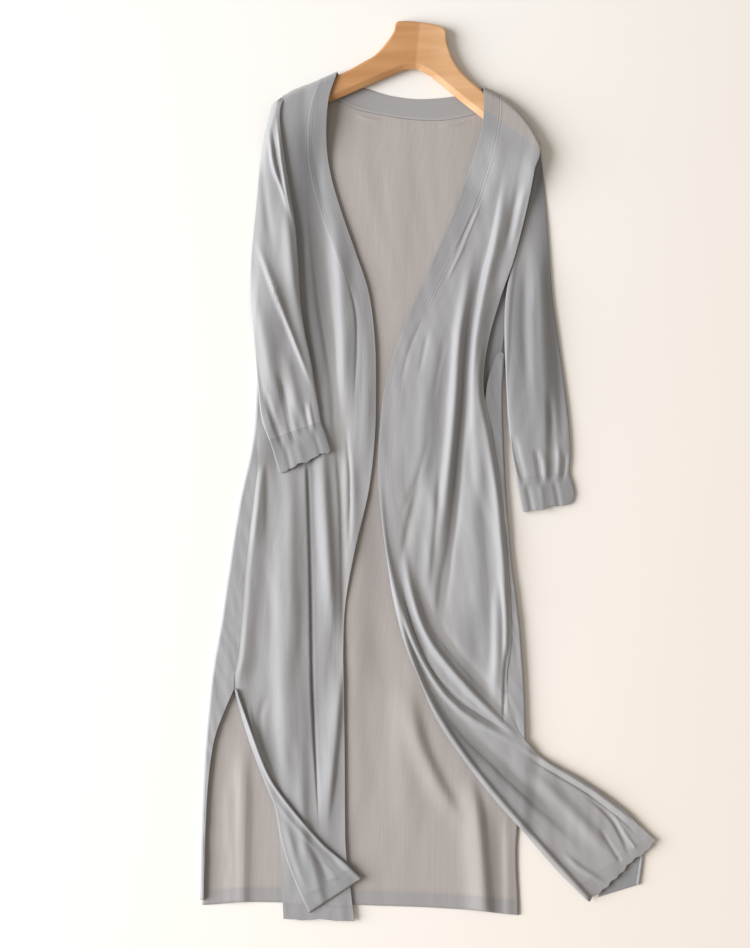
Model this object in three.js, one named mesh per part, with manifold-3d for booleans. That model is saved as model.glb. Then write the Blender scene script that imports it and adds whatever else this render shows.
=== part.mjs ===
// A long, thin, open-fronted cardigan laid flat on its back, with a plain wooden hanger in its shoulders.
// Millimetres. +X points to the viewer's right, +Y to the collar and +Z up, from the surface it lies on.
// Left and right in the names are the wearer's, so the right front is at the viewer's left.
import * as THREE from "three";
import { mergeVertices } from "three/addons/utils/BufferGeometryUtils.js";
import Module from "manifold-3d";

const wasm = await Module();
wasm.setup();

// Driving sizes
const CLOTH = 1.2; // wall of the body and the sleeves
const BAND_WALL = 1.6; // the front band is knitted double
const HEM_WALL = 1.6;
const HEM_DEPTH = 20;
const BAND_WIDTH = 24;
const SEAM_GAP = 0.3;
const SIDE_SEAM_GAP = 0.6; // where a front meets the turned edge of the back
const LAYER_GAP = 0.4; // between two layers that lie on each other
const SIDE_ROLL = 2.6; // radius of the soft fold where the back turns round the side
const FLAP_ROLL = 1.5; // radius of the fold where a front is turned over
const SLEEVE_HEIGHT = 6.2; // a flattened sleeve, across both its layers
const CUFF_HEIGHT = 5.6;
const HANGER_FLOOR = 1.7; // the hanger lies on the back
const HANGER_THICKNESS = 12;
const HANGER_BEVEL = 5;
const SHOULDER_RADIUS = 6.6; // the cloth's inner radius round the hanger's upper edge
const SHOULDER_Z = HANGER_FLOOR + HANGER_THICKNESS / 2; // height of the shoulder seams
const ON_BACK = CLOTH + LAYER_GAP; // height of a layer that lies on the back
const ON_HANGER = HANGER_FLOOR + HANGER_THICKNESS + 0.8; // height of a layer that lies on the hanger
const HANGER_RAMP = 84; // the cloth comes down from the hanger over this length
const ON_FLOOR = 0.05; // height of a layer that lies on the bare surface
const SIDE_RISE = 2 * SIDE_ROLL - LAYER_GAP; // how far a front rises to its seam with the back's turned edge
const SIDE_RISE_WIDTH = 30;
const SIDE_CALM = 8; // a front has no folds this near to that seam
const UNDERLAY = 2.2; // room for the layer that is turned in under the swept part
const TURN_LEG = 4; // how far a turned edge's wall overlaps its sheet
const TURN_WALL = 0.94 * CLOTH; // a little less than its sheet's wall, so that it ends inside it
const SEAM_OVERHANG = 0.6; // a turned edge goes at least this far past its fold
const TUBE_STEEPNESS = 0.75; // a narrow tube is no higher than this share of its width
const TUBE_FLATNESS = 0.55; // powers of the tube's section: 1 is an ellipse, and less is flatter
const TUBE_SQUARENESS = 0.8;

// The plan tables below are in units of PLAN_UNIT, from the upper left, y downwards.
// They are what an eye EYE_HEIGHT above EYE sees, so a raised point is drawn in towards it.
const PLAN_UNIT = 1.35;
const MIDDLE = { x: 427.8, y: 471.3 };
const EYE = { x: 375, y: 474 };
const EYE_HEIGHT = 1900;
const BESIDE_BACK = 14; // plan units in which a layer comes down beside the back's edge

// The rows of the fronts' tables where the side slits begin.
const RIGHT_SLIT_ROW = 14;
const LEFT_SLIT_ROW = 14;
const UNDERARM_ROW = 6; // the side seams begin below this row

// A table's rows as objects with the named columns.
function table(columns, rows) {
  const names = columns.split(" ");
  return rows.map((row) => Object.fromEntries(names.map((name, i) => [name, row[i]])));
}

// The right front, from the shoulder seam down to the hem: its opening edge, and its side seam or slit.
const RIGHT_FRONT = table("edgeX edgeY sideX sideY bow", [
  [337.5, 72, 277.5, 98, 0],
  [328.5, 100, 274, 125, 0],
  [326.5, 140, 271, 160, 0],
  [331, 175, 269, 195, 0],
  [342, 213, 267.5, 230, 0],
  [356, 253, 266, 265, 0],
  [369, 293, 265.5, 300, 0],
  [375, 340, 264, 345, 0],
  [376, 385, 262, 390, 0],
  [375, 435, 260.5, 440, 0],
  [369, 490, 254, 497, 0],
  [355, 550, 247, 555, 0],
  [345.5, 605, 242.5, 610, 0],
  [343.5, 650, 238.5, 655, 0],
  [344, 690, 234.5, 688, 0],
  [344.7, 735, 247.4, 735, 0],
  [345, 775, 262, 775, 0],
  [345.2, 815, 275, 812, 0],
  [346, 850, 280.5, 850, 0],
  [350.5, 888, 282, 885, 0],
  [354.5, 921, 283.5, 919, 0],
]);

// The left front. Below the slit it is swept out over the surface beside the garment.
const LEFT_FRONT = table("edgeX edgeY sideX sideY bow", [
  [483.5, 87, 538.5, 141, 8],
  [482.5, 124, 534.5, 170, 2],
  [470, 168, 528.5, 201, 0],
  [451, 219, 521, 233, 0],
  [425.5, 277, 512.5, 264, 0],
  [402, 331, 504.5, 301, 0],
  [386, 381, 498.5, 343, 0],
  [379.5, 435, 491, 388, 0],
  [378.5, 480, 491, 435, 0],
  [382, 521, 499, 490, 0],
  [388.6, 568.6, 506, 540, 0],
  [394, 601, 510, 590, 0],
  [404.6, 642, 511.5, 640, 0],
  [419, 678, 507, 681, 0],
  [437, 719, 514, 722, 0],
  [460, 754, 541, 757, 0],
  [492, 796, 578, 778, 0],
  [524, 832, 618, 805, 0],
  [557, 870, 640, 826, 0],
  [589.5, 902, 656, 841, 0],
]);

// The back's two outlines at a height y. Its sides are turned round to the front as far as the side seams.
const BACK_OUTLINE = table("y left right", [
  [98, 277.5, 538.5],
  [141, 272.5, 538.5],
  [172, 270.5, 534],
  [203, 268.6, 528],
  [235, 267.2, 520.5],
  [266, 266, 512],
  [310, 261, 504],
  [345, 258.5, 502.5],
  [390, 256.5, 502],
  [440, 252.8, 504],
  [500, 240, 507],
  [570, 229, 513],
  [620, 221.6, 519.5],
  [670, 213, 523.5],
  [712, 208.4, 525.5],
  [752, 204.9, 525.5],
  [800, 202.6, 521],
  [850, 201, 517],
  [906, 200, 519],
]);

// Between these heights the back's sides are rolled, and each end fades over a length.
const ROLLED_SIDES = {
  left: { from: 295, to: 800, fadeIn: 20, fadeOut: 30 },
  right: { from: 330, to: 745, fadeIn: 20, fadeOut: 20 },
};

// The back's upper end: the shoulder seams, and the neck seam between them.
const BACK_TOP = table("x y", [
  [277.5, 98],
  [295, 89.5],
  [312.2, 83.2],
  [316, 87.8],
  [324, 95.2],
  [339, 101.6],
  [357, 109.8],
  [378, 114.4],
  [400, 118.3],
  [422, 120.5],
  [444, 120.5],
  [464, 117.2],
  [480, 113.5],
  [489, 108],
  [494.3, 101.4],
  [498, 96.5],
  [515, 108],
  [528, 123],
  [538.5, 141],
]);
const BACK_HEM = table("x y", [
  [200, 905],
  [250, 902],
  [359, 905],
  [420, 907],
  [469, 910],
  [519, 915],
]);

// The shoulder seams, with the ends of the neck band, where the back stands up round the hanger's upper edge.
const SHOULDER_LINES = table("fromX fromY toX toY", [
  [277.5, 98, 337.5, 72],
  [483.5, 87, 498, 96.5],
  [498, 96.5, 515, 108],
  [515, 108, 528, 123],
  [528, 123, 538.5, 141],
]);

// Where the back's turned edge ends below the slit, at the viewer's left.
const SLIT_ROLL = table("y x", [
  [688, 234.5],
  [712, 224],
  [735, 215.5],
  [758, 211],
  [790, 207.5],
]);

// The neck band: its free edge, and its seam with the back.
const NECK_BAND = table("edgeX edgeY seamX seamY", [
  [337.3, 72.1, 313, 82.5],
  [345, 83, 323.6, 93],
  [355, 86.5, 339.4, 101],
  [370, 90, 357.2, 109.2],
  [386, 95, 378.2, 113.8],
  [404, 98.2, 400, 117.7],
  [420, 99.3, 422, 119.9],
  [440, 98.2, 444, 119.9],
  [457, 96, 463.8, 116.6],
  [470, 93.5, 479.5, 112.9],
  [477, 91, 488.2, 106.2],
  [483.3, 87.6, 497.4, 96.8],
]);

// The slit corner of the right front, turned over on to its outer face: the fold, and the free edge.
const RIGHT_FLAP = table("foldX foldY freeX freeY", [
  [237.5, 697, 242, 702],
  [247.4, 735, 253.5, 736],
  [262, 775, 273, 776],
  [275, 812, 300, 813],
  [281, 842, 327, 843],
  [285, 868, 347, 862],
  [309, 913, 361.5, 878.5],
]);

// The layer that is turned in under the swept left front: the fold, and the hidden free edge.
const LEFT_FLAP = table("foldX foldY freeX freeY", [
  [541, 757, 522, 770],
  [578, 778, 553, 800],
  [618, 805, 580, 838],
  [640, 826, 598, 866],
  [650, 848, 606, 880],
  [642, 882, 600, 900],
]);

// Sleeves and cuffs as flattened tubes: the side next to the body, and the outer side.
const RIGHT_SLEEVE = table("innerX innerY outerX outerY", [
  [281, 118, 271.5, 116],
  [283.5, 145, 263.5, 141],
  [287, 172, 259.3, 169],
  [291.5, 200, 256.8, 199],
  [296, 231, 254, 227],
  [298.5, 265, 251, 262],
  [300.5, 300, 250.5, 300],
  [305, 332, 252.8, 326],
  [311, 360, 255.5, 357],
  [315.5, 388, 258.5, 392],
  [319, 408, 261.5, 419],
  [321.2, 421, 269, 440],
]);
const RIGHT_CUFF = table("innerX innerY outerX outerY", [
  [321.4, 421.4, 269.2, 440.4],
  [325, 431, 272.5, 450],
  [328, 440, 275.5, 461],
  [331.2, 450.5, 279.3, 473.5],
]);
const LEFT_SLEEVE = table("innerX innerY outerX outerY", [
  [538.4, 158, 543.6, 156],
  [535, 180, 544.6, 178],
  [531, 202, 546, 200],
  [523.4, 236, 548.5, 234],
  [514.6, 266, 550.5, 264],
  [508, 300, 553, 300],
  [505.6, 335, 558, 337],
  [505.8, 374, 563.5, 377],
  [507.5, 412, 568, 412],
  [510.5, 442, 570.3, 440],
  [513.5, 463, 570.8, 458],
  [516.4, 479, 569.6, 471.5],
]);
const LEFT_CUFF = table("innerX innerY outerX outerY", [
  [516.5, 479.35, 569.7, 471.85],
  [518.5, 491, 572.5, 483],
  [520.6, 502, 574.5, 494],
  [523, 512.5, 572.5, 503],
]);

// The hanger's outline, from the top of its neck towards the viewer's right.
const HANGER = table("x y", [
  [398, 21.5],
  [420, 22],
  [441, 26],
  [446, 31],
  [447, 41],
  [453, 58],
  [464, 74],
  [483, 91.2],
  [497, 101.6],
  [513, 111],
  [525, 125],
  [532, 139],
  [532, 149],
  [524, 152],
  [505, 136],
  [483, 119],
  [455, 97],
  [431, 77],
  [417, 70],
  [404, 70.5],
  [380, 80.5],
  [347, 95],
  [308, 111],
  [288, 118],
  [280.5, 114],
  [281.5, 106],
  [298, 92],
  [313, 87],
  [328, 79.5],
  [338, 75.2],
  [350, 69.5],
  [364, 61.5],
  [375, 55],
  [386, 43],
  [394, 31],
]);
// The middle lines of its two arms where the fronts lie on them.
const ARM_LINES = table("fromX fromY toX toY", [
  [286, 109, 338, 87],
  [483, 105, 527, 143],
]);
const ARM_HALF_WIDTH = 17;

// Folds: a ridge, or with a negative height a valley, from one plan point to another.
// bow bends its line sideways, and lean makes it steeper on one side; both and the width are in millimetres.
const BACK_FOLDS = table("fromX fromY toX toY bow width height lean", [
  [411, 690, 458, 802, 6, 12, 3, 0],
  [482, 800, 486, 914, 0, 7, 5, 0.4],
  [243, 770, 242, 898, 0, 8, 3.5, -0.3],
]);
const RIGHT_FOLDS = table("fromX fromY toX toY bow width height lean", [
  [305, 455, 313, 700, 0, 6, 3.2, 0.5],
  [312, 690, 318, 850, -2, 6, 3.4, 0.5],
  [288, 520, 292, 830, 4, 12, 3, 0],
  [334, 430, 343, 600, -2, 8, 3, 0.3],
  [352, 300, 352, 470, -4, 10, 2, 0],
  [318, 160, 338, 300, 3, 10, 2, 0],
]);
const LEFT_FOLDS = table("fromX fromY toX toY bow width height lean", [
  [512, 165, 473, 372, 6, 9, 5, -0.3],
  [488, 300, 502, 520, -18, 13, 6, 0.2],
  [468, 275, 431, 590, 14, 8, 3.6, 0.3],
  [389, 565, 443, 735, 10, 7, 5.5, 0],
  [393, 560, 465, 722, 17, 7, 5, 0],
  [396, 525, 525, 745, 34, 8, 5.5, 0.3],
  [425, 545, 505, 722, 25, 6, 3.4, 0],
  [470, 745, 588, 892, 5, 10, 3.5, 0],
  [505, 755, 622, 868, -6, 11, 3, 0],
]);
const SLEEVE_FOLDS = table("fromX fromY toX toY bow width height lean", [
  [257, 235, 309, 378, 6, 7, 1.6, 0.3],
  [272, 150, 294, 240, 3, 6, 1.2, 0],
  [526, 240, 540, 440, 5, 8, 1.6, 0],
]);

const clamp = THREE.MathUtils.clamp;
const ease = (t) => clamp(t, 0, 1) ** 2 * (3 - 2 * clamp(t, 0, 1));
const mix = THREE.MathUtils.lerp;
const place = (x, y) => new THREE.Vector2((x - MIDDLE.x) * PLAN_UNIT, (MIDDLE.y - y) * PLAN_UNIT);
const unplaceX = (x) => x / PLAN_UNIT + MIDDLE.x;
const unplaceY = (y) => MIDDLE.y - y / PLAN_UNIT;

// A column of a table at row number t, along a smooth curve through the rows.
function smooth(rows, column, t) {
  const last = rows.length - 1;
  const at = clamp(t, 0, last);
  const i = Math.min(Math.floor(at), last - 1);
  const value = (k) => rows[clamp(k, 0, last)][column];
  const s = at - i;
  const slopeA = (value(i + 1) - value(i - 1)) / 2;
  const slopeB = (value(i + 2) - value(i)) / 2;
  const rise = value(i + 1) - value(i);
  return value(i) + s * slopeA + s * s * (3 * rise - 2 * slopeA - slopeB) + s ** 3 * (slopeA + slopeB - 2 * rise);
}

// A column of a table where its key column, which only grows, has the value given.
function lookUp(rows, key, at, column) {
  const last = rows.length - 1;
  const i = clamp(rows.findIndex((row) => row[key] > at) - 1, 0, last - 1);
  const found = at >= rows[last][key] ? last - 1 : i;
  const share = (at - rows[found][key]) / (rows[found + 1][key] - rows[found][key]);
  return smooth(rows, column, found + clamp(share, 0, 1));
}

const columnAt = (rows, column, share) => smooth(rows, column, share * (rows.length - 1));

// The height that a table of folds adds at a plan point in millimetres.
function foldHeight(folds, x, y) {
  let height = 0;
  for (const fold of folds) {
    const from = place(fold.fromX, fold.fromY);
    const run = place(fold.toX, fold.toY).sub(from);
    const length = run.length();
    const offset = new THREE.Vector2(x, y).sub(from);
    const share = offset.dot(run) / (length * length);
    const aside = run.cross(offset) / length - fold.bow * 4 * share * (1 - share);
    const width = fold.width * (1 + fold.lean * Math.tanh(aside / fold.width));
    const taper = ease(share * 6) * ease((1 - share) * 6);
    height += fold.height * taper * Math.exp(-((aside / width) ** 2));
  }
  return height;
}

// The distance in plan from a point to the nearest line of a table.
function distanceTo(lines, x, y) {
  const distances = lines.map((line) => {
    const from = place(line.fromX, line.fromY);
    const run = place(line.toX, line.toY).sub(from);
    const offset = new THREE.Vector2(x, y).sub(from);
    const share = clamp(offset.dot(run) / run.lengthSq(), 0, 1);
    return offset.sub(run.multiplyScalar(share)).length();
  });
  return Math.min(...distances);
}

// The height of the back's underside where it stands up round the hanger's upper edge.
function curlUp(x, y) {
  const radius = SHOULDER_Z - SEAM_GAP / 2;
  const turn = clamp(1 - distanceTo(SHOULDER_LINES, x, y) / radius, 0, 1);
  return radius * (1 - Math.sqrt(1 - turn * turn));
}

// How far over the surface a layer on the hanger's arms lies: 1 on an arm, 0 away from it.
function onArms(x, y) {
  return 1 - ease((distanceTo(ARM_LINES, x, y) - ARM_HALF_WIDTH) / HANGER_RAMP);
}

// 1 over the back, and 0 on the bare surface at the viewer's right of it.
function onBack(x, y) {
  const edge = lookUp(BACK_OUTLINE, "y", unplaceY(y), "right");
  return 1 - ease((unplaceX(x) - edge - 1) / BESIDE_BACK);
}

// The underside of what lies on the back, the hanger or the bare surface.
function restHeight(x, y) {
  const lowest = mix(ON_FLOOR, ON_BACK, onBack(x, y));
  return mix(lowest, ON_HANGER, onArms(x, y)) + foldHeight(BACK_FOLDS, x, y) * onBack(x, y);
}

// The two fronts. Between the rows riseFrom and riseTo the side rises to its seam with the turned edge of the
// back, and from the row sweptFrom on a layer is turned in under it. calm is 1 where a sleeve lies on it.
const FRONTS = {
  right: { rows: RIGHT_FRONT, folds: RIGHT_FOLDS, riseFrom: 6, riseTo: 14.4, sweptFrom: Infinity, calm: 1, columns: 15 },
  left: { rows: LEFT_FRONT, folds: LEFT_FOLDS, riseFrom: 5.5, riseTo: 14, sweptFrom: 13, calm: 0, columns: 17 },
};
const RISE_ROWS = 1.5; // the side rises over this many rows,
const FALL_ROWS = 1.2; // and comes down over this many
const SWEPT_ROWS = 1.5;

// The right sleeve and cuff lie on the right front, whose folds stay flat above and beside this corner.
const CALM_CORNER = place(317, 475);
const CALM_FADE = 20;

function underRightSleeve(x, y) {
  return ease((CALM_CORNER.x - x) / CALM_FADE) * ease((y - CALM_CORNER.y) / CALM_FADE);
}

// A point of a front's underside: across goes from the opening edge to the side, down counts the table's rows.
function frontPoint(front, across, down) {
  const flat = (t) => {
    const edge = edgePoint(front, t);
    const along = sidePoint(front, t).sub(edge);
    const bend = (smooth(front.rows, "bow", t) * PLAN_UNIT * 4 * across * (1 - across)) / along.length();
    return edge.addScaledVector(along, across).add(new THREE.Vector2(-along.y, along.x).multiplyScalar(bend));
  };
  const point = flat(down);
  const fromSide = (1 - across) * edgePoint(front, down).distanceTo(sidePoint(front, down));
  const seamed = ease((down - front.riseFrom) / RISE_ROWS) * ease((front.riseTo - down) / FALL_ROWS);
  const rise = SIDE_RISE * seamed * (1 - ease(fromSide / SIDE_RISE_WIDTH));
  const swept = UNDERLAY * ease((down - front.sweptFrom) / SWEPT_ROWS);
  const calm = front.calm * underRightSleeve(point.x, point.y);
  const folds = foldHeight(front.folds, point.x, point.y) * (1 - calm);
  const free = 1 - seamed * (1 - ease(fromSide / SIDE_CALM));
  const lying = restHeight(point.x, point.y) + rise + swept + folds * free;
  const fromShoulder = point.distanceTo(flat(0));
  const turn = clamp(1 - fromShoulder / SHOULDER_RADIUS, 0, 1);
  const start = SHOULDER_Z + SEAM_GAP / 2;
  return new THREE.Vector3(point.x, point.y, start + (lying - start) * Math.sqrt(1 - turn * turn));
}

const SHOULDER_BLEND = 60; // below the seam the back widens from its upper end to its outlines in this length

const edgePoint = (front, down) => place(smooth(front.rows, "edgeX", down), smooth(front.rows, "edgeY", down));
const sidePoint = (front, down) => place(smooth(front.rows, "sideX", down), smooth(front.rows, "sideY", down));
const bandShare = (front, down) => BAND_WIDTH / edgePoint(front, down).distanceTo(sidePoint(front, down));

// How far the back's flat part stops short of a rolled side, in plan units.
function rollInset({ from, to, fadeIn, fadeOut }, y) {
  return (ease((y - from) / fadeIn) * ease((to - y) / fadeOut) * SIDE_ROLL) / PLAN_UNIT;
}

// A point of the back's underside. u goes from the viewer's left to the right, v from the top to the hem.
function backPoint(u, v) {
  const topX = mix(BACK_TOP[0].x, BACK_TOP.at(-1).x, u);
  const top = lookUp(BACK_TOP, "x", topX, "y");
  const hem = lookUp(BACK_HEM, "x", mix(BACK_HEM[0].x, BACK_HEM.at(-1).x, u), "y");
  const y = mix(top, hem, v);
  const left = lookUp(BACK_OUTLINE, "y", y, "left") + rollInset(ROLLED_SIDES.left, y);
  const right = lookUp(BACK_OUTLINE, "y", y, "right") - rollInset(ROLLED_SIDES.right, y);
  const x = mix(topX, mix(left, right, u), ease((y - top) / SHOULDER_BLEND));
  const point = place(x, y);
  const z = curlUp(point.x, point.y) + foldHeight(BACK_FOLDS, point.x, point.y);
  return new THREE.Vector3(point.x, point.y, z);
}

// A grid of points, one row for each value of down and one column for each value of across.
const grid = (downs, acrosses, point) => downs.map((down) => acrosses.map((across) => point(across, down)));
const steps = (from, to, count) => Array.from({ length: count + 1 }, (_, i) => mix(from, to, i / count));

// The unit normals of a grid; round closes its columns into a ring.
function normalsOf(points, round) {
  const rows = points.length;
  const columns = points[0].length;
  const column = (j) => (round ? (j + columns) % columns : clamp(j, 0, columns - 1));
  return points.map((line, i) =>
    line.map((_, j) => {
      const down = points[Math.min(i + 1, rows - 1)][j].clone().sub(points[Math.max(i - 1, 0)][j]);
      const across = line[column(j + 1)].clone().sub(line[column(j - 1)]);
      return down.cross(across).normalize();
    }),
  );
}

// 1 where the normals of a sheet point up, or those of a ring of columns point inwards, and otherwise -1.
function senseOf(points, normals, round) {
  let sum = 0;
  points.forEach((line, i) => {
    const centre = line.reduce((total, point) => total.add(point), new THREE.Vector3()).divideScalar(line.length);
    line.forEach((point, j) => {
      sum += round ? normals[i][j].dot(centre.clone().sub(point)) : normals[i][j].z;
    });
  });
  return Math.sign(sum);
}

// A wall of cloth on a grid. It stands on a sheet's grid upwards, or inside a ring's, by wall(i, j).
// behind is the share of the wall on the other side of the grid.
function clothWall(points, wall, { round = false, behind = 0, normals = normalsOf(points, round) } = {}) {
  const sense = senseOf(points, normals, round);
  const rows = points.length;
  const columns = points[0].length;
  const vertices = [];
  const layer = (share) =>
    points.forEach((line, i) =>
      line.forEach((point, j) =>
        vertices.push(...point.clone().addScaledVector(normals[i][j], sense * share * wall(i, j))),
      ),
    );
  layer(1 - behind);
  layer(-behind);
  const second = rows * columns;
  const index = [];
  const quad = (a, b, c, d) => index.push(a, b, c, a, c, d);
  const at = (i, j) => i * columns + (j % columns);
  const spans = round ? columns : columns - 1;
  for (let i = 0; i < rows - 1; i++)
    for (let j = 0; j < spans; j++) {
      quad(at(i, j), at(i + 1, j), at(i + 1, j + 1), at(i, j + 1));
      quad(second + at(i, j), second + at(i, j + 1), second + at(i + 1, j + 1), second + at(i + 1, j));
    }
  for (let j = 0; j < spans; j++) {
    quad(at(0, j), at(0, j + 1), second + at(0, j + 1), second + at(0, j));
    const k = rows - 1;
    quad(at(k, j + 1), at(k, j), second + at(k, j), second + at(k, j + 1));
  }
  if (!round)
    for (let i = 0; i < rows - 1; i++) {
      quad(at(i + 1, 0), at(i, 0), second + at(i, 0), second + at(i + 1, 0));
      const k = columns - 1;
      quad(at(i, k), at(i + 1, k), second + at(i + 1, k), second + at(i, k));
    }
  const geometry = new THREE.BufferGeometry();
  geometry.setAttribute("position", new THREE.Float32BufferAttribute(vertices, 3));
  geometry.setIndex(index);
  return facingOut(geometry);
}

// The same geometry with its faces pointing out.
function facingOut(geometry) {
  const position = geometry.getAttribute("position");
  const index = geometry.getIndex();
  const corner = (i) => new THREE.Vector3().fromBufferAttribute(position, index.getX(i));
  let volume = 0;
  for (let i = 0; i < index.count; i += 3) volume += corner(i).dot(corner(i + 1).cross(corner(i + 2)));
  if (volume > 0) return geometry;
  const turned = [];
  for (let i = 0; i < index.count; i += 3) turned.push(index.getX(i), index.getX(i + 2), index.getX(i + 1));
  geometry.setIndex(turned);
  return geometry;
}

function solidOf(geometry) {
  const bare = new THREE.BufferGeometry();
  bare.setAttribute("position", geometry.getAttribute("position"));
  bare.setIndex(geometry.getIndex());
  const merged = mergeVertices(bare, 1e-4);
  return new wasm.Manifold(
    new wasm.Mesh({
      numProp: 3,
      vertProperties: new Float32Array(merged.getAttribute("position").array),
      triVerts: new Uint32Array(merged.getIndex().array),
    }),
  );
}

function joined(...geometries) {
  const solid = geometries.map(solidOf).reduce((whole, piece) => whole.add(piece));
  const mesh = solid.getMesh();
  const geometry = new THREE.BufferGeometry();
  geometry.setAttribute("position", new THREE.Float32BufferAttribute(mesh.vertProperties, 3));
  geometry.setIndex(new THREE.BufferAttribute(mesh.triVerts, 1));
  return geometry;
}

// A turned edge: a short leg in the sheet, a half-round fold, and a leg that ends at the free edge.
// sheetZ(x, y) is the middle of the sheet's wall, and up is 1 or -1.
const TURN_ANGLES = [-90, -45, 0, 45, 90];
const OUTER_LEG = [0.35, 0.7, 1];

function turnedEdge(stations, foldAt, freeAt, radius, sheetZ, up) {
  const points = stations.map((t) => {
    const fold = foldAt(t);
    const free = freeAt(t);
    const inward = free.clone().sub(fold).normalize();
    const width = free.distanceTo(fold);
    const section = [];
    const add = (aside, over) => {
      const at = fold.clone().addScaledVector(inward, aside);
      section.push(new THREE.Vector3(at.x, at.y, sheetZ(at.x, at.y) + up * over));
    };
    const centre = radius + CLOTH / 2;
    add(centre + TURN_LEG, 0);
    for (const degrees of TURN_ANGLES) {
      const angle = THREE.MathUtils.degToRad(degrees);
      add(centre - radius * Math.cos(angle), radius * (1 + Math.sin(angle)));
    }
    const end = Math.max(width, centre + SEAM_OVERHANG);
    for (const share of OUTER_LEG) add(mix(centre, end, share), 2 * radius);
    return section;
  });
  return clothWall(points, () => TURN_WALL, { behind: 0.5 });
}

// Shares of the way down the back: close together round the hanger's edge, and on both sides of the hem seam.
const CURLED_DOWNS = [0, 0.0012, 0.0035, 0.0068, 0.011, 0.03, 0.06, 0.1];
const HEM_DOWNS = [0.9, 0.94, 0.974, 0.976, 1];
const ROLL_STATIONS = 5;

// The sheets of the back
function back() {
  const downs = [...CURLED_DOWNS, ...steps(0.14, 0.86, 13), ...HEM_DOWNS];
  const topWidth = BACK_TOP.at(-1).x - BACK_TOP[0].x;
  const acrosses = BACK_TOP.map(({ x }) => (x - BACK_TOP[0].x) / topWidth);
  const hemmed = (i) => (i > downs.length - 3 ? HEM_WALL : CLOTH);
  const sheet = clothWall(grid(downs, acrosses, backPoint), hemmed);
  const sheetZ = (x, y) => CLOTH / 2 + foldHeight(BACK_FOLDS, x, y);
  const leftSeam = (t) => {
    if (t <= RIGHT_SLIT_ROW) return sidePoint(FRONTS.right, t).sub(new THREE.Vector2(SIDE_SEAM_GAP, 0));
    const row = t - RIGHT_SLIT_ROW;
    return place(smooth(SLIT_ROLL, "x", row), smooth(SLIT_ROLL, "y", row));
  };
  const rightSeam = (t) => sidePoint(FRONTS.left, t).add(new THREE.Vector2(SIDE_SEAM_GAP, 0));
  const outline = (side, seam) => (t) => {
    const y = unplaceY(seam(t).y);
    return place(lookUp(BACK_OUTLINE, "y", y, side), y);
  };
  const seamed = frontDowns(FRONTS.right).filter((t) => t > UNDERARM_ROW && t < RIGHT_SLIT_ROW);
  const leftStations = [...seamed, ...steps(RIGHT_SLIT_ROW, RIGHT_SLIT_ROW + SLIT_ROLL.length - 1, ROLL_STATIONS)];
  const rightStations = frontDowns(FRONTS.left).filter((t) => t > UNDERARM_ROW && t <= LEFT_SLIT_ROW);
  const viewersLeft = turnedEdge(leftStations, outline("left", leftSeam), leftSeam, SIDE_ROLL, sheetZ, 1);
  const viewersRight = turnedEdge(rightStations, outline("right", rightSeam), rightSeam, SIDE_ROLL, sheetZ, 1);
  return joined(sheet, viewersLeft, viewersRight);
}

// Row numbers down a front: close together over the hanger's edge, and on both sides of the hem seam.
const SHOULDER_ROWS = [0, 0.03, 0.08, 0.14, 0.21, 0.5, 1, 1.5, 2];
const BODY_ROWS = { from: 2.75, count: 17 };
const LAST_ROW_HEIGHT = 45;
const HEM_STEP = 0.05;

function frontDowns({ rows }) {
  const last = rows.length - 1;
  const hem = last - HEM_DEPTH / LAST_ROW_HEIGHT;
  return [...SHOULDER_ROWS, ...steps(BODY_ROWS.from, last - 1, BODY_ROWS.count), hem, hem + HEM_STEP, last];
}

// A front and its band as one grid, parted by the seam gap after the band's columns.
const BAND_COLUMNS = 4;

function frontAndBand(front) {
  const points = frontDowns(front).map((down) => {
    const seam = bandShare(front, down);
    const half = ((SEAM_GAP / 2) * seam) / BAND_WIDTH;
    const acrosses = [...steps(0, seam - half, BAND_COLUMNS - 1), ...steps(seam + half, 1, front.columns)];
    return acrosses.map((across) => frontPoint(front, across, down));
  });
  const normals = normalsOf(points, false);
  for (const line of normals) {
    const shared = line[BAND_COLUMNS - 1].clone().add(line[BAND_COLUMNS]).normalize();
    line[BAND_COLUMNS - 1] = shared;
    line[BAND_COLUMNS] = shared;
  }
  return { points, normals };
}

function frontSheet(front) {
  const { points, normals } = frontAndBand(front);
  const part = (lines) => lines.map((line) => line.slice(BAND_COLUMNS));
  return clothWall(part(points), (i) => (i > points.length - 3 ? HEM_WALL : CLOTH), { normals: part(normals) });
}

function bandSheet(front) {
  const { points, normals } = frontAndBand(front);
  const part = (lines) => lines.map((line) => line.slice(0, BAND_COLUMNS));
  return clothWall(part(points), () => BAND_WALL, { normals: part(normals) });
}

const FLAP_STATIONS = 13;

function rightFront() {
  const front = FRONTS.right;
  const fold = (t) => place(columnAt(RIGHT_FLAP, "foldX", t), columnAt(RIGHT_FLAP, "foldY", t));
  const free = (t) => place(columnAt(RIGHT_FLAP, "freeX", t), columnAt(RIGHT_FLAP, "freeY", t));
  const sheetZ = (x, y) => restHeight(x, y) + foldHeight(front.folds, x, y) + CLOTH / 2;
  const flap = turnedEdge(steps(0, 1, FLAP_STATIONS), fold, free, FLAP_ROLL, sheetZ, 1);
  return joined(frontSheet(front), flap);
}

function leftFront() {
  const front = FRONTS.left;
  const fold = (t) => place(columnAt(LEFT_FLAP, "foldX", t), columnAt(LEFT_FLAP, "foldY", t));
  const free = (t) => place(columnAt(LEFT_FLAP, "freeX", t), columnAt(LEFT_FLAP, "freeY", t));
  const sheetZ = (x, y) => restHeight(x, y) + UNDERLAY + CLOTH / 2;
  const flap = turnedEdge(steps(0, 1, FLAP_STATIONS), fold, free, UNDERLAY / 2, sheetZ, -1);
  return joined(frontSheet(front), flap);
}

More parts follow.
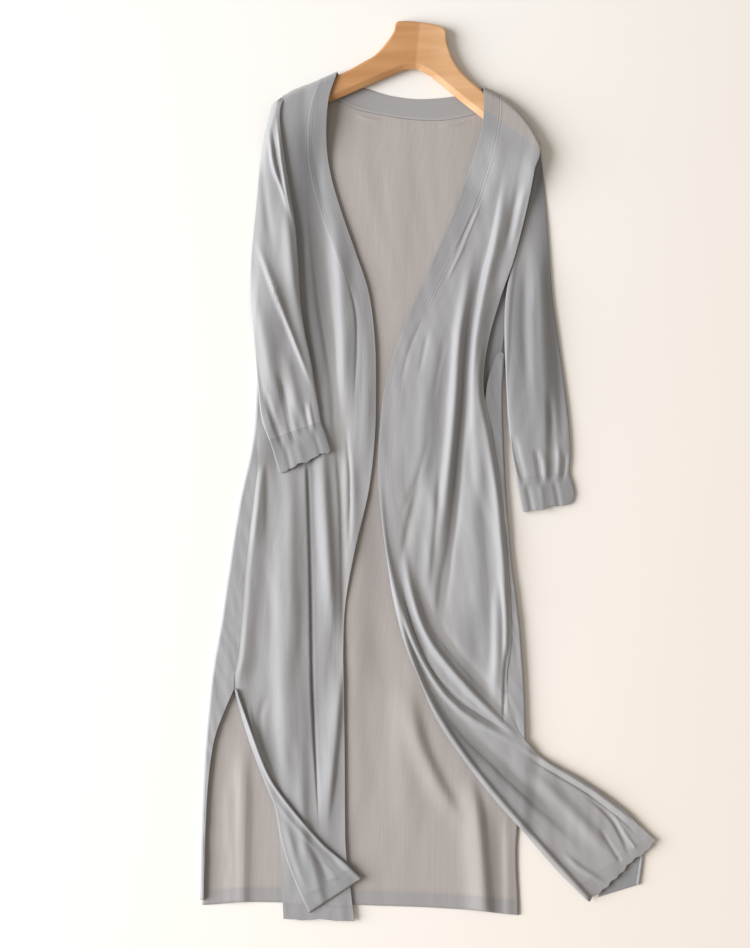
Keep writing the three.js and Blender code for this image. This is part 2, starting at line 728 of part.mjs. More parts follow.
// The neck band lies on the surface behind the hanger, and its ends turn up to the shoulder seams.
const END_TURN = [0, 0.03, 0.1, 0.25, 0.45, 0.7];
const NECK_STATIONS = 16;

function neckBand() {
  const last = NECK_BAND.length - 1;
  const point = (across, t) => {
    const edge = place(smooth(NECK_BAND, "edgeX", t), smooth(NECK_BAND, "edgeY", t));
    const seam = place(smooth(NECK_BAND, "seamX", t), smooth(NECK_BAND, "seamY", t));
    const at = edge.lerp(seam, across);
    return new THREE.Vector3(at.x, at.y, curlUp(at.x, at.y));
  };
  const otherEnd = END_TURN.map((t) => last - t).reverse();
  const downs = [...END_TURN, ...steps(1, last - 1, NECK_STATIONS), ...otherEnd];
  return clothWall(grid(downs, steps(0, 1, 3), point), () => CLOTH);
}

const signedPower = (value, power) => Math.sign(value) * Math.abs(value) ** power;

// A flattened tube. Its underside lies on under(x, y), and height is the whole of it, with both layers.
const AROUND = 18;

function flatTube(rows, count, height, under, folds) {
  const last = rows.length - 1;
  const points = steps(0, last, count).map((t) => {
    const inner = place(smooth(rows, "innerX", t), smooth(rows, "innerY", t));
    const outer = place(smooth(rows, "outerX", t), smooth(rows, "outerY", t));
    const width = inner.distanceTo(outer);
    const tall = Math.min(height, width * TUBE_STEEPNESS);
    return Array.from({ length: AROUND }, (_, k) => {
      const angle = (k / AROUND) * 2 * Math.PI;
      const round = signedPower(Math.sin(angle), TUBE_FLATNESS);
      const reach = signedPower(Math.cos(angle), TUBE_SQUARENESS);
      const at = inner.clone().lerp(outer, (1 + reach) / 2);
      const over = round > 0 ? foldHeight(folds, at.x, at.y) * round : 0;
      return new THREE.Vector3(at.x, at.y, under(at.x, at.y) + (tall / 2) * (1 + round) + over);
    });
  });
  return clothWall(points, () => CLOTH, { round: true });
}

// Where the right sleeve rests: heights in millimetres, and places and lengths in plan units.
const SLEEVE_REST = {
  lowest: 1, // off the surface, beside the garment
  outside: 18, // it starts to rise this far outside the back's outline,
  rise: 14, // over this length
  spare: 2.4, // more room over the front near the shoulder,
  spareTo: 190, // down to here,
  spareFade: 60, // and none this much lower
  seamFrom: 262, // the side seam under it begins here
  seamFade: 40,
  seamInset: 8,
  seamWidth: 24,
};

// The right sleeve lies on the right front and hangs over the turned side.
function underSleeve(x, y) {
  const rest = SLEEVE_REST;
  const fromOutline = unplaceX(x) - lookUp(BACK_OUTLINE, "y", unplaceY(y), "left");
  const inside = ease((fromOutline + rest.outside) / rest.rise);
  const spare = rest.spare * (1 - ease((unplaceY(y) - rest.spareTo) / rest.spareFade));
  const above = mix(ON_BACK, ON_HANGER, onArms(x, y)) + CLOTH + spare + LAYER_GAP;
  const seamed = ease((unplaceY(y) - rest.seamFrom) / rest.seamFade);
  const seam = SIDE_RISE * seamed * (1 - ease((fromOutline - rest.seamInset) / rest.seamWidth));
  return mix(rest.lowest, above + seam, inside);
}

const SLEEVE_ROWS = 18;
const CUFF_ROWS = 4;
const onSurface = () => 0;
const rightSleeve = () => flatTube(RIGHT_SLEEVE, SLEEVE_ROWS, SLEEVE_HEIGHT, underSleeve, SLEEVE_FOLDS);
const rightCuff = () => flatTube(RIGHT_CUFF, CUFF_ROWS, CUFF_HEIGHT, underSleeve, []);
const leftSleeve = () => flatTube(LEFT_SLEEVE, SLEEVE_ROWS, SLEEVE_HEIGHT, onSurface, SLEEVE_FOLDS);
const leftCuff = () => flatTube(LEFT_CUFF, CUFF_ROWS, CUFF_HEIGHT, onSurface, []);

// A flat wooden hanger cut from a board, with rounded edges and no hook.
const HANGER_STATIONS = 72;

function hanger() {
  const outline = new THREE.CatmullRomCurve3(
    HANGER.map(({ x, y }) => new THREE.Vector3(...place(x, y), 0)),
    true,
  );
  const shape = new THREE.Shape(outline.getPoints(HANGER_STATIONS).slice(0, -1));
  const geometry = new THREE.ExtrudeGeometry(shape, {
    depth: HANGER_THICKNESS - 2 * HANGER_BEVEL,
    bevelThickness: HANGER_BEVEL,
    bevelSize: HANGER_BEVEL,
    bevelOffset: -HANGER_BEVEL,
    bevelSegments: 3,
  });
  geometry.translate(0, 0, HANGER_FLOOR + HANGER_BEVEL);
  return joined(geometryIndexed(geometry));
}

function geometryIndexed(geometry) {
  const bare = new THREE.BufferGeometry();
  bare.setAttribute("position", geometry.getAttribute("position"));
  return mergeVertices(bare, 1e-3);
}

// Draws raised points in towards the point that the plan tables were seen from.
function drawnIn(geometry) {
  const position = geometry.getAttribute("position");
  const eye = place(EYE.x, EYE.y);
  for (let i = 0; i < position.count; i++) {
    const nearer = 1 - position.getZ(i) / EYE_HEIGHT;
    position.setX(i, mix(eye.x, position.getX(i), nearer));
    position.setY(i, mix(eye.y, position.getY(i), nearer));
  }
  return geometry;
}

const GREY_KNIT = { color: 0x9d9c9e, roughness: 0.75, metalness: 0 };
const BAND_KNIT = { color: 0x959496, roughness: 0.78, metalness: 0 };
const BEECH = { color: 0xd29b62, roughness: 0.45, metalness: 0 };

function piece(name, geometry, finish) {
  const mesh = new THREE.Mesh(drawnIn(geometry), new THREE.MeshStandardMaterial(finish));
  mesh.name = name;
  return mesh;
}

const cardigan = new THREE.Group();
cardigan.add(
  piece("back", back(), GREY_KNIT),
  piece("front_right", rightFront(), GREY_KNIT),
  piece("front_left", leftFront(), GREY_KNIT),
  piece("sleeve_right", rightSleeve(), GREY_KNIT),
  piece("sleeve_left", leftSleeve(), GREY_KNIT),
  piece("cuff_right", rightCuff(), BAND_KNIT),
  piece("cuff_left", leftCuff(), BAND_KNIT),
  piece("band_right", bandSheet(FRONTS.right), BAND_KNIT),
  piece("band_left", bandSheet(FRONTS.left), BAND_KNIT),
  piece("band_neck", neckBand(), BAND_KNIT),
  piece("hanger", hanger(), BEECH),
);

export default cardigan;
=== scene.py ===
# A long thin-knit cardigan laid flat with a wooden hanger in its shoulders, seen from straight above.
# Blender's own units are metres. The garment is worked out in millimetres and scaled by MM at the end.
# Left and right in the names are the wearer's, so the right front is at the viewer's left.
import math
import bpy
import numpy as np
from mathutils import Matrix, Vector


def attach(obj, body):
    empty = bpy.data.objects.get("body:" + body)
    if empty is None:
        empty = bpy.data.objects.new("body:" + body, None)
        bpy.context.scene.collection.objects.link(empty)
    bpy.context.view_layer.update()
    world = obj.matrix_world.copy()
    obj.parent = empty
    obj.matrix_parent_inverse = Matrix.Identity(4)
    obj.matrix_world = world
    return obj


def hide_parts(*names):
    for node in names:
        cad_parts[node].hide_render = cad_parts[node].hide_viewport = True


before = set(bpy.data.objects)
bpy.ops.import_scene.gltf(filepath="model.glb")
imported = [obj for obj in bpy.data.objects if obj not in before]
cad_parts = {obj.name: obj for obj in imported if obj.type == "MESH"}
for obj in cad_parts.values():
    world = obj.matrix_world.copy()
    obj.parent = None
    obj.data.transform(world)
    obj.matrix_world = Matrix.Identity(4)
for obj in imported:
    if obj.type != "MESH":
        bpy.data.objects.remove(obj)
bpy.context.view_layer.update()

MM = 0.001

# Millimetres
CLOTH = 1.0
SOLID_CLOTH = 1.2
LAYER_GAP = 0.4
SEAM_GAP = 0.3
SIDE_SEAM_GAP = 0.2
TOUCHING_GAP = 0.04
BAND_WIDTH = 24.0
SEAM_RIDGE = 0.28
HEM_DEPTH = 20.0
HEM_EXTRA = 0.3
BACK_LENGTH = 1095
END_REACH = 60
END_WAVE = 70
SIDE_ROLL = 2.6
FLAP_ROLL = 1.5
RIM_HEIGHT = 2.6
HIDDEN_LEG = 4.0
UNDERLAY = 2.2
FRONT_LIFT = 2.0
BACK_LIFT = 0.2
SLEEVE_LIFT = 1.8
SLEEVE_CLEARANCE = 0.6
OVERHANG_Z = 1.0
LEFT_CAP_RISE = 4.5
HANGER_FLOOR = 1.7
HANGER_THICKNESS = 12.0
HANGER_BEVEL = 3.0
HANGER_RAMP = 84.0
FULL_RUNG = 26
CHAMFER_WIDTH = 8.5
CHAMFER_DROP = 4.4
LOW_EDGE_RADIUS = 1.2
ARM_HALF_WIDTH = 17.0
SHOULDER_RADIUS = 6.6
SHOULDER_Z = HANGER_FLOOR + HANGER_THICKNESS / 2
ON_BACK = SOLID_CLOTH + LAYER_GAP
ON_HANGER = HANGER_FLOOR + HANGER_THICKNESS + 0.8
SIDE_RISE = 2 * SIDE_ROLL - LAYER_GAP
SIDE_RISE_WIDTH = 30.0

# How much darker than the plain cloth, up to 1
BAND_TONE = {"right": 0.19, "left": 0.18, "neck": 0.1}
CUFF_TONE = {"right": 0.3, "left": 0.1}
FLAP_TONE = 0.14
HEM_SHADE = 0.14
HEM_LINE_TONE = 0.2
# Painted shade on the back and its turned side beside the left front's underarm, where the fold's shadow
# falls
UNDERARM_PAINTED_SHADE = 0.45

# How much warmer than the plain cloth, up to 1
# Painted warm shade in the troughs of the fronts' folds
TROUGH_WARM_SHADE = 0.3
ON_FLOOR_WARMTH = 0.25
WOOD_WARMTH = 0.9
NECK_WARMTH = 0.3
HEM_WARMTH_LOST = 0.6

# Rows and columns of the grids
BAND_COLUMNS = 17
BODY_COLUMNS = 92
FRONT_ROWS = 420
BACK_COLUMNS = 112
BACK_ROWS = 245
FOLD_STEPS = 13
SLEEVE_ROWS = 150
CUFF_ROWS = 34
TUBE_COLUMNS = 96
HANGER_RUNGS = 300

# Places in the plan tables, counted in their rows
RIGHT_SEAM_FROM = 6.3
LEFT_SEAM_FROM = 7.3
RIGHT_SLIT_ROW = 14
LEFT_SLIT_ROW = 14
OVER_SLEEVE_TO = 5.4
CUFF_SEAM = 0.002

# The plan tables are in the photograph's pixels, each PLAN_UNIT millimetres on the surface.
# They are what an eye EYE_HEIGHT above EYE sees, so a raised point is drawn in towards it.
PLAN_UNIT = 1.35
MIDDLE = (427.8, 471.3)
EYE = (375.0, 474.0)
EYE_HEIGHT = 1900.0
PICTURE = (750, 948)

# Plan units again. BACK_TURNED is where each side's turn begins and ends, each with the run it takes.
SEAM_SHOWN_TO = {"right": 390, "left": 300}
BACK_TURNED = {"left": (295, 20, 920, 14), "right": (330, 20, 765, 12)}
# Where the painted underarm shade lies on the back
UNDERARM_LEFT, UNDERARM_TOP, UNDERARM_LOW = 480, 225, 396
NECK_LEFT, NECK_RIGHT = 324, 489
LEAST_COLUMN = 0.8
FLAP_OPENS = 780
TROUGHS_FROM = 180
ON_FLOOR_LEFT, ON_FLOOR_TOP = 528, 740
WOOD_SHOWN_TO = 165
SLEEVE_OVERHANG = 18
SLEEVE_RAISED_FROM = 262
LEFT_CAP_TOP = 141

SLIT_CREASE_SEED = 9
SLEEVE_SEED = 31

KEY_LIGHT = dict(place_m=(-5.8, -0.1, 2.9), size=5.6, energy=850, colour=(0.97, 0.985, 1.0))
WORLD_COLOUR = (1.0, 0.91, 0.8, 1)
WORLD_STRENGTH = 0.42
COOL_GREY = (0.343, 0.344, 0.357, 1)
# WARM_GREY and DARK_GREY are what the warmth and the tone mix in, painted shade among them
WARM_GREY = (0.395, 0.362, 0.348, 1)
DARK_GREY = (0.4, 0.4, 0.42, 1)


def table(columns, rows):
    """A table as a dict of columns."""
    data = np.array(rows, float)
    return {name: data[:, i] for i, name in enumerate(columns.split())}


RIGHT_FRONT = table("edge_x edge_y side_x side_y bow", [
    (337.5, 72, 283, 96.2, 0),
    (328.5, 100, 274, 125, 0),
    (326.5, 140, 271, 160, 0),
    (331, 175, 269, 195, 0),
    (342, 213, 267.5, 230, 0),
    (356, 253, 266, 265, 0),
    (369, 293, 265.5, 300, 0),
    (375, 340, 264, 345, 0),
    (376, 385, 262, 390, 0),
    (375, 435, 260.5, 440, 0),
    (369, 490, 254, 497, 0),
    (355, 550, 247, 555, 0),
    (345.5, 605, 242.5, 610, 0),
    (343.5, 650, 238.5, 655, 0),
    (344, 690, 234.5, 688, 0),
    (344.7, 735, 247.4, 735, 0),
    (345, 775, 262, 775, 0),
    (345.2, 815, 275, 812, 0),
    (346, 850, 280.5, 850, 0),
    (350.5, 888, 282, 885, 0),
    (354.5, 921, 283.5, 919, 0),
])
LEFT_FRONT = table("edge_x edge_y side_x side_y bow", [
    (483.5, 87, 538.5, 141, 8),
    (482.5, 124, 534.5, 170, 2),
    (470, 168, 528.5, 201, 0),
    (451, 219, 521, 233, 0),
    (425.5, 277, 512.5, 264, 0),
    (402, 331, 499.5, 301, 0),
    (386, 381, 487.5, 345, 0),
    (379.5, 435, 483.5, 388, 0),
    (378.5, 480, 492, 435, 0),
    (382, 521, 501, 490, 0),
    (388.6, 568.6, 506, 540, 0),
    (394, 601, 510, 590, 0),
    (404.6, 642, 511.5, 640, 0),
    (419, 678, 507, 681, 0),
    (437, 719, 514, 722, 0),
    (460, 754, 541, 757, 0),
    (492, 796, 578, 778, 0),
    (524, 832, 618, 805, 0),
    (557, 870, 640, 826, 0),
    (589.5, 902, 656, 841, 0),
])
BACK_OUTLINE = table("y left right", [
    (98, 283, 538.5),
    (141, 272.5, 538.5),
    (172, 270.5, 534),
    (203, 268.6, 528),
    (235, 267.2, 520.5),
    (266, 266, 512),
    (310, 261, 507),
    (345, 258.5, 505.5),
    (390, 256.5, 503),
    (440, 252.8, 504),
    (500, 240, 507),
    (570, 229, 513),
    (620, 221.6, 519.5),
    (670, 213, 523.5),
    (712, 208.4, 525.5),
    (752, 204.9, 525.5),
    (800, 202.6, 521),
    (850, 201, 517),
    (906, 200, 519),
])
BACK_TOP = table("x y", [
    (283, 96.2), (295, 89.5), (312.2, 83.2), (316, 87.8), (324, 95.2), (339, 101.6), (357, 109.8),
    (378, 114.4), (400, 118.3), (422, 120.5), (444, 120.5), (464, 117.2), (480, 113.5), (489, 108),
    (494.3, 101.4), (498, 96.5), (515, 108), (528, 123), (538.5, 141),
])
BACK_LEFT, BACK_RIGHT = BACK_TOP["x"][0], BACK_TOP["x"][-1]
BACK_HEM = table("x y", [(200, 905), (250, 902), (359, 905), (420, 907), (469, 910), (519, 915)])
SHOULDER_LINES = [
    (283, 96.2, 337.5, 72),
    (483.5, 87, 498, 96.5),
    (498, 96.5, 515, 108),
    (515, 108, 528, 123),
    (528, 123, 538.5, 141),
]
ARM_LINES = [
    (286, 109, 338, 87),
    (483, 105, 527, 143),
]
SLIT_ROLL = table("y x", [
    (688, 234.5), (712, 224), (735, 215.5), (758, 211), (790, 207.5), (830, 205.4), (870, 204.2),
    (900, 203.4),
])
LEFT_SLIT_ROLL = table("y x", [(722, 514), (733, 518), (742, 521.5), (748, 523.4)])
LEFT_PANEL_TOP = table("y x", [(350, 500.5), (357, 495.5), (370, 491), (384, 487.2), (397, 485.6)])
NECK_BAND = table("edge_x edge_y seam_x seam_y", [
    (337.3, 72.1, 313, 82.5),
    (345, 83, 323.6, 93),
    (355, 86.5, 339.4, 101),
    (370, 90, 357.2, 109.2),
    (386, 95, 378.2, 113.8),
    (404, 98.2, 400, 117.7),
    (420, 99.3, 422, 119.9),
    (440, 98.2, 444, 119.9),
    (457, 96, 463.8, 116.6),
    (470, 93.5, 479.5, 112.9),
    (477, 91, 488.2, 106.2),
    (483.3, 87.6, 497.4, 96.8),
])
RIGHT_FLAP = table("fold_x fold_y free_x free_y", [
    (235, 688.5, 237, 690),
    (240.5, 712, 245.5, 714),
    (247.4, 735, 253.5, 736),
    (262, 775, 269.5, 776),
    (274.5, 806, 291, 807),
    (281, 840, 322, 843),
    (292, 874, 344, 862),
    (309, 913, 361.5, 878.5),
])
LEFT_FLAP = table("fold_x fold_y free_x free_y", [
    (541, 757, 522, 770),
    (578, 778, 553, 800),
    (618, 805, 580, 838),
    (640, 826, 598, 866),
    (644, 847, 604, 878),
    (640, 884, 598, 897),
])
RIGHT_SLEEVE = table("inner_x inner_y outer_x outer_y", [
    (285, 97, 283, 96.4),
    (281, 106, 273.2, 104.5),
    (280, 120, 268.6, 120),
    (283, 145, 263.5, 141),
    (287, 172, 259.3, 169),
    (291.5, 200, 256.8, 199),
    (296, 231, 254, 227),
    (298.5, 265, 251, 262),
    (300.5, 300, 250.5, 300),
    (305, 332, 252.8, 326),
    (311, 360, 255.5, 357),
    (315.5, 388, 258.5, 392),
    (319, 408, 261.5, 419),
    (321.2, 421, 269, 440),
])
RIGHT_CUFF = table("inner_x inner_y outer_x outer_y", [
    (325, 431, 272.5, 450),
    (328, 440, 275.5, 461),
    (331.2, 450.5, 279.3, 473.5),
])
LEFT_SLEEVE = table("inner_x inner_y outer_x outer_y", [
    (534, 141, 539.4, 141),
    (532, 157, 541, 156),
    (529, 180, 543.6, 178),
    (525, 202, 545.4, 200),
    (519, 236, 548, 234),
    (511, 266, 550, 264),
    (505.4, 300, 553, 300),
    (504.4, 335, 558, 337),
    (505.8, 374, 563.5, 377),
    (507.5, 412, 568, 412),
    (510.5, 442, 570.3, 440),
    (513.5, 463, 570.8, 458),
    (516.4, 479, 569.6, 471.5),
])
LEFT_CUFF = table("inner_x inner_y outer_x outer_y", [
    (518.5, 491, 572.5, 483),
    (520.6, 502, 574.5, 494),
    (523, 512.5, 572.5, 503),
])
RIGHT_SLEEVE_HEIGHTS = table("row tall", [
    (0, 0.5), (2, 1.4), (4, 3.4), (6, 6.2), (11, 6.4), (13, 5.6), (16, 5),
])
LEFT_SLEEVE_HEIGHTS = table("row tall", [
    (0, 0.8), (3, 1.6), (4, 2.2), (5, 3.4), (7, 6.4), (10, 6.4), (12, 5.8), (15, 5.4),
])
HANGER = table("top_x top_y low_x low_y", [
    (286.5, 109, 287, 114),
    (289.5, 103.5, 292, 116),
    (298, 93.5, 308, 111),
    (313, 87, 325, 104),
    (328, 79.5, 340, 98),
    (338, 75.2, 349, 94.2),
    (350, 69.5, 360, 89.3),
    (364, 61.5, 373, 83.6),
    (375, 55, 384, 78.8),
    (386, 43, 393, 75),
    (394, 31, 400, 72),
    (398, 21.5, 405, 70.3),
    (420, 22, 412, 69.6),
    (441, 26, 418, 70),
    (446, 31, 421, 71.4),
    (447, 41, 425, 73.4),
    (453, 58, 432, 77.8),
    (464, 74, 445, 88.6),
    (483, 91.2, 464, 104),
    (497, 101.6, 480, 116.6),
    (513, 111, 497, 130),
    (525, 125, 511, 141),
    (532, 139, 522, 150.5),
    (532.5, 146, 528, 151.5),
])
ARM_LOW_EDGE = (495.7, 117.4, 0.718)
# The line down the hanger's neck where two facets meet; right of it the wood is painted lighter
NECK_FACET = table("y x", [(22, 420), (59, 416)])

# Folds as soft ridges, or with a minus height troughs, along a curve through plan points.
# Each is its points, width, height, lean and ends, with the width and height in millimetres.
# Lean from -1 to 1 makes the side on the curve's left hand the wider, or with a minus sign the narrower.
# Ends says where the fold stays full: 0 nowhere, 1 at its end, 2 at its start.
# A row that leaves out ends, or lean and ends, has 0 there.
BACK_FOLDS = [
    ([(407, 680), (420, 745), (464, 832)], 11, 4.5, -0.3),
    ([(423, 700), (438, 765), (470, 815)], 9, -1.3),
    ([(464, 770), (477, 815), (486, 925)], 12, 7.5, -0.55, 1),
    ([(360, 600), (356, 700), (362, 850)], 16, 1.6),
    ([(409, 640), (403, 730), (408, 860)], 18, 2.2, 0.2),
    ([(244, 725), (243, 800), (242, 915)], 10, 4, -0.1, 1),
    ([(228, 770), (229, 830), (230, 910)], 7, 1.6, 0, 1),
    ([(216, 780), (215, 830), (217, 895)], 1.6, -1.4),
    ([(228, 835), (228, 860), (230, 895)], 1.4, -1),
    ([(400, 150), (398, 220), (396, 300)], 26, 0.8),
    ([(360, 140), (372, 200), (384, 280)], 16, 0.9),
    ([(506, 800), (507, 850), (508, 925)], 6, 1.6, 0.2, 1),
    ([(450, 123), (466, 119), (479, 114)], 1.3, -1.8),
    ([(436, 127), (456, 124), (474, 118)], 1.3, 1.5),
    ([(352, 113), (366, 118), (384, 121)], 1.3, 1.4),
]
RIGHT_FOLDS = [
    ([(306, 440), (310, 570), (311.5, 667), (314, 735), (320, 838)], 2, -5, 0.5, 2),
    ([(307, 120), (317, 250), (333, 380)], 10, -7, 0.3),
    ([(325, 300), (336, 400), (341, 490)], 9, -4, 0.2),
    ([(330, 190), (342, 290), (345, 430)], 10, 4.6, 0.3),
    ([(342, 262), (356, 320), (354, 405)], 2.4, -1.6, 0.3),
    ([(366, 300), (367, 390), (360, 480)], 8, 2),
    ([(345, 420), (350, 480), (349, 560)], 3, -2.6),
    ([(290, 425), (292, 570), (296, 700)], 9, 2, -0.1),
    ([(300, 640), (302, 740), (308, 850)], 9, 1.6, -0.2),
    ([(283, 465), (284, 650), (289, 850)], 15, 5, 0.1),
    ([(320, 420), (327, 540), (333, 650)], 8, 5, -0.3),
    ([(336, 415), (342, 530), (343, 660)], 4, -3, 0.3),
    ([(346, 430), (352, 500), (350, 580)], 7, 1.5, 0.2),
    ([(341, 660), (335, 740), (325, 835)], 7, 4.4, -0.7),
    ([(264, 430), (267, 480), (266, 550)], 5, -1.6, 0.3),
    ([(256, 440), (255, 500), (252, 560)], 7, 2),
    ([(268, 690), (260, 720), (264, 750)], 5, -1.6),
    ([(247, 700), (256, 745), (279, 792)], 5, 4.4, -0.5),
    ([(300, 760), (303, 830), (306, 900)], 8, 2.6, -0.2),
]
LEFT_FOLDS = [
    ([(509, 165), (498, 232), (486, 285), (477, 335), (473.5, 385), (475, 440)], 8, 8, 0.5),
    (
        [(488, 222), (480, 275), (469, 330), (464, 400), (460, 450), (455, 510), (448, 565), (437, 640)],
        5.5, -6,
    ),
    ([(477, 232), (467, 285), (459, 340), (455, 400), (450.5, 450), (444, 510), (435, 575)], 6.5, 6, -0.1),
    ([(474, 385), (476, 440), (485, 520)], 10, 4, 0.1),
    ([(448, 545), (441, 600), (437, 655)], 8, -3, 0.3),
    ([(436, 450), (432, 520), (425, 600)], 6, 2.4, -0.35),
    ([(442, 300), (428, 400), (420, 520)], 14, 4),
    ([(424, 315), (409, 350), (401, 385)], 3.4, -0.7, 0.2),
    ([(430, 325), (424, 350), (419, 380)], 3.6, -0.8),
    ([(447, 330), (438, 370), (432, 410)], 3.4, -0.5),
    ([(430, 430), (420, 470), (400, 520)], 4, -1),
    ([(425, 460), (410, 520), (401, 570)], 6, -2.4, 0.3),
    ([(499, 125), (496, 165), (488, 215)], 11, 1.8),
    ([(480, 200), (466, 230), (452, 262)], 1.6, -0.8),
    ([(484, 196), (472, 225), (456, 262)], 1.4, 0.7),
    ([(470, 236), (458, 258), (446, 284)], 1.6, 0.7),
    ([(521, 175), (513, 215), (503, 260)], 5, -1.6, 0.2),
    ([(527, 180), (519, 215), (510, 255)], 4, 1.4),
    ([(500, 560), (506, 620), (505, 690)], 3, 2),
    ([(507, 640), (505, 680), (503, 728)], 2.6, -3.6, 0.3),
    ([(496, 570), (497, 650), (494, 710)], 6, 3),
    ([(520, 765), (560, 800), (618, 862)], 9, 3.4),
    ([(583, 793), (612, 820), (632, 860)], 3.5, -2.6, 0.4),
    ([(560, 850), (580, 868), (608, 884)], 4, 2.2),
    ([(499, 700), (506, 706), (513, 704)], 1.6, 0.9),
    ([(500, 712), (507, 719), (514, 716)], 1.6, 0.9),
    ([(497, 688), (503, 692), (509, 690)], 1.8, 0.7),
    ([(612, 812), (624, 832), (634, 846)], 2, 1.2, 0, 1),
    ([(598, 826), (612, 848), (620, 860)], 3, -1.4, 0, 1),
]
FLAP_FOLDS = [
    ([(270, 792), (290, 820), (328, 862)], 3, 1.2),
    ([(284, 815), (293, 850), (306, 895)], 5, 2),
    ([(300, 830), (312, 862), (322, 900)], 6, 2.4, -0.2, 1),
    ([(312, 848), (322, 868), (330, 890)], 3, -1.4),
    ([(322, 862), (332, 872), (338, 886)], 2.4, 1.2),
    ([(326, 850), (338, 866), (350, 878)], 3, -1),
]
SWEPT_FOLDS = [
    ([(381, 450), (383, 520), (394, 590), (411, 655), (440, 718), (492, 790), (588, 898)], 3.6, 4.4, -0.3, 1),
    ([(386, 535), (398, 596), (413, 640), (436, 684), (462, 712), (494, 731), (530, 750)], 4.2, 6.5, 0.1),
    ([(400, 570), (410, 622), (429, 666), (453, 695), (482, 716), (520, 737)], 2, -5),
    ([(403, 540), (411, 590), (426, 634), (450, 668), (482, 703), (528, 748)], 4.6, 6.5, -0.1),
    ([(414, 556), (428, 612), (455, 653), (488, 690), (512, 722)], 7, -5, 0.2),
    ([(402, 600), (424, 668), (455, 720), (510, 776), (600, 860)], 9, -5, 0.3),
    ([(515, 744), (545, 762), (590, 789), (625, 815), (648, 834)], 3, 3.6),
    ([(520, 752), (545, 768), (588, 794), (622, 820), (642, 840)], 1.8, -2.2),
    ([(482, 380), (492, 440), (501, 510), (506, 580), (508, 640)], 7, 4, -0.35),
    ([(470, 450), (474, 530), (478, 600), (480, 660)], 14, 3),
]
LEFT_FOLDS += SWEPT_FOLDS

# Painted shade: broad hollows, creases and cast shadows that lie in shade, and the side of a sleeve turned
# from the light, written like folds, with the darkening in place of the height.
BACK_PAINTED_SHADES = [
    ([(372, 500), (371, 570), (368, 640), (368, 720)], 16, 0.3, 0, 2),
    ([(490, 795), (495, 850), (499, 925)], 7, 0.35, 0, 1),
]
RIGHT_PAINTED_SHADES = [
    ([(302, 40), (306, 170), (313, 260), (319, 360), (321, 440)], 18, 0.78),
    ([(309.5, 450), (311.5, 560), (312.5, 650), (315, 730), (320, 825)], 5, 0.95, 0, 2),
    ([(332, 480), (337, 560), (340, 650)], 6, 0.25),
    ([(338, 760), (337, 830), (340, 900)], 9, 0.2, 0, 1),
]
LEFT_PAINTED_SHADES = [
    ([(422, 684), (464, 738), (522, 788), (588, 846)], 17, 0.5),
    (
        [(489, 225), (480, 275), (469, 330), (463, 400), (458, 460), (453, 520), (446, 580), (435, 645)],
        7, 0.5,
    ),
    ([(424, 330), (421, 420), (415, 520)], 15, 0.25),
    ([(472, 590), (470, 655), (464, 700)], 15, 0.25),
    ([(520, 640), (512, 690), (506, 735)], 5, 0.2),
]
SLEEVE_PAINTED_SHADES = {
    "right": [([(258, 150), (253, 230), (252, 300)], 5, 0.3)],
    "left": [
        ([(540, 150), (549, 240), (558, 340), (564, 410), (565, 470)], 17, 0.55, 0, 2),
        ([(531, 150), (524, 210), (516, 255)], 8, 0.5, 0, 2),
        ([(520, 235), (526, 320), (531, 400), (534, 465)], 26, 0.42),
    ],
}
RIGHT_SLEEVE_FOLDS = [
    ([(275, 104), (279.5, 144), (282, 166), (288.5, 200), (295, 232)], 3, 3.4, 0.4),
    ([(268, 122), (273, 163), (282, 188), (291, 220)], 3, 3.6, 0.3),
    ([(272, 122), (277, 165), (286, 200)], 1.8, -2.4),
    ([(262, 150), (265, 200), (275, 262)], 5, -1.6),
    ([(284, 190), (290, 250), (300, 335)], 7, 4, -0.2),
    ([(253, 232), (281, 305), (317, 396)], 5.4, 6, 0.6),
    ([(263, 248), (288, 315), (316, 388)], 4.8, -3.4, 0.4),
    ([(255, 285), (267, 350), (282, 415)], 10, 3.4, 0.2),
    ([(254, 340), (260, 380), (270, 430)], 4, -1.6),
    ([(283, 345), (292, 385), (300, 422)], 7, 3),
    ([(264, 388), (271, 414), (284, 450)], 3, -4.4, 0.2),
    ([(277, 366), (285, 402), (295, 450)], 3.2, -5, 0.2),
    ([(284, 398), (291, 420), (300, 440)], 4.5, 2.4),
    ([(303, 400), (306, 416), (310, 434)], 2, -2.4),
    ([(308, 398), (311, 416), (315, 434)], 1.8, 1.6),
]
LEFT_SLEEVE_FOLDS = [
    ([(538, 215), (541, 290), (544, 380), (545, 470)], 13, 5.5, -0.3),
    ([(526, 250), (524, 330), (528, 400)], 5, -1.4),
    ([(533, 260), (533, 350), (537, 430)], 4, 1.2),
    ([(556, 320), (560, 390), (563, 450)], 5, -2),
    ([(511, 430), (517, 458), (525, 488)], 4, -5, 0.2),
    ([(534, 446), (538, 464), (541, 488)], 2.4, -3.8, 0.2),
    ([(541, 448), (545, 466), (546, 486)], 2.6, 2.8),
    ([(549, 385), (551, 440), (551, 488)], 4, -5, 0.2),
    ([(558, 440), (559, 462), (557, 484)], 3, 2),
    ([(565, 450), (565, 466), (562, 484)], 2.4, -2),
]
RIGHT_SLEEVE_FOLDS += [
    ([(283, 442), (287, 454), (291, 471)], 3, -1.2, 0, 1),
    ([(295, 438), (299, 450), (304, 466)], 4, 1.2, 0, 1),
    ([(313, 430), (317, 442), (321, 456)], 3, -1, 0, 1),
]
LEFT_SLEEVE_FOLDS += [
    ([(526, 482), (529, 496), (532, 511)], 3.4, -1.8, 0, 1),
    ([(540, 482), (542, 494), (544, 509)], 3.4, 1.2, 0, 1),
    ([(553, 478), (556, 490), (559, 506)], 3, -1.8, 0, 1),
]


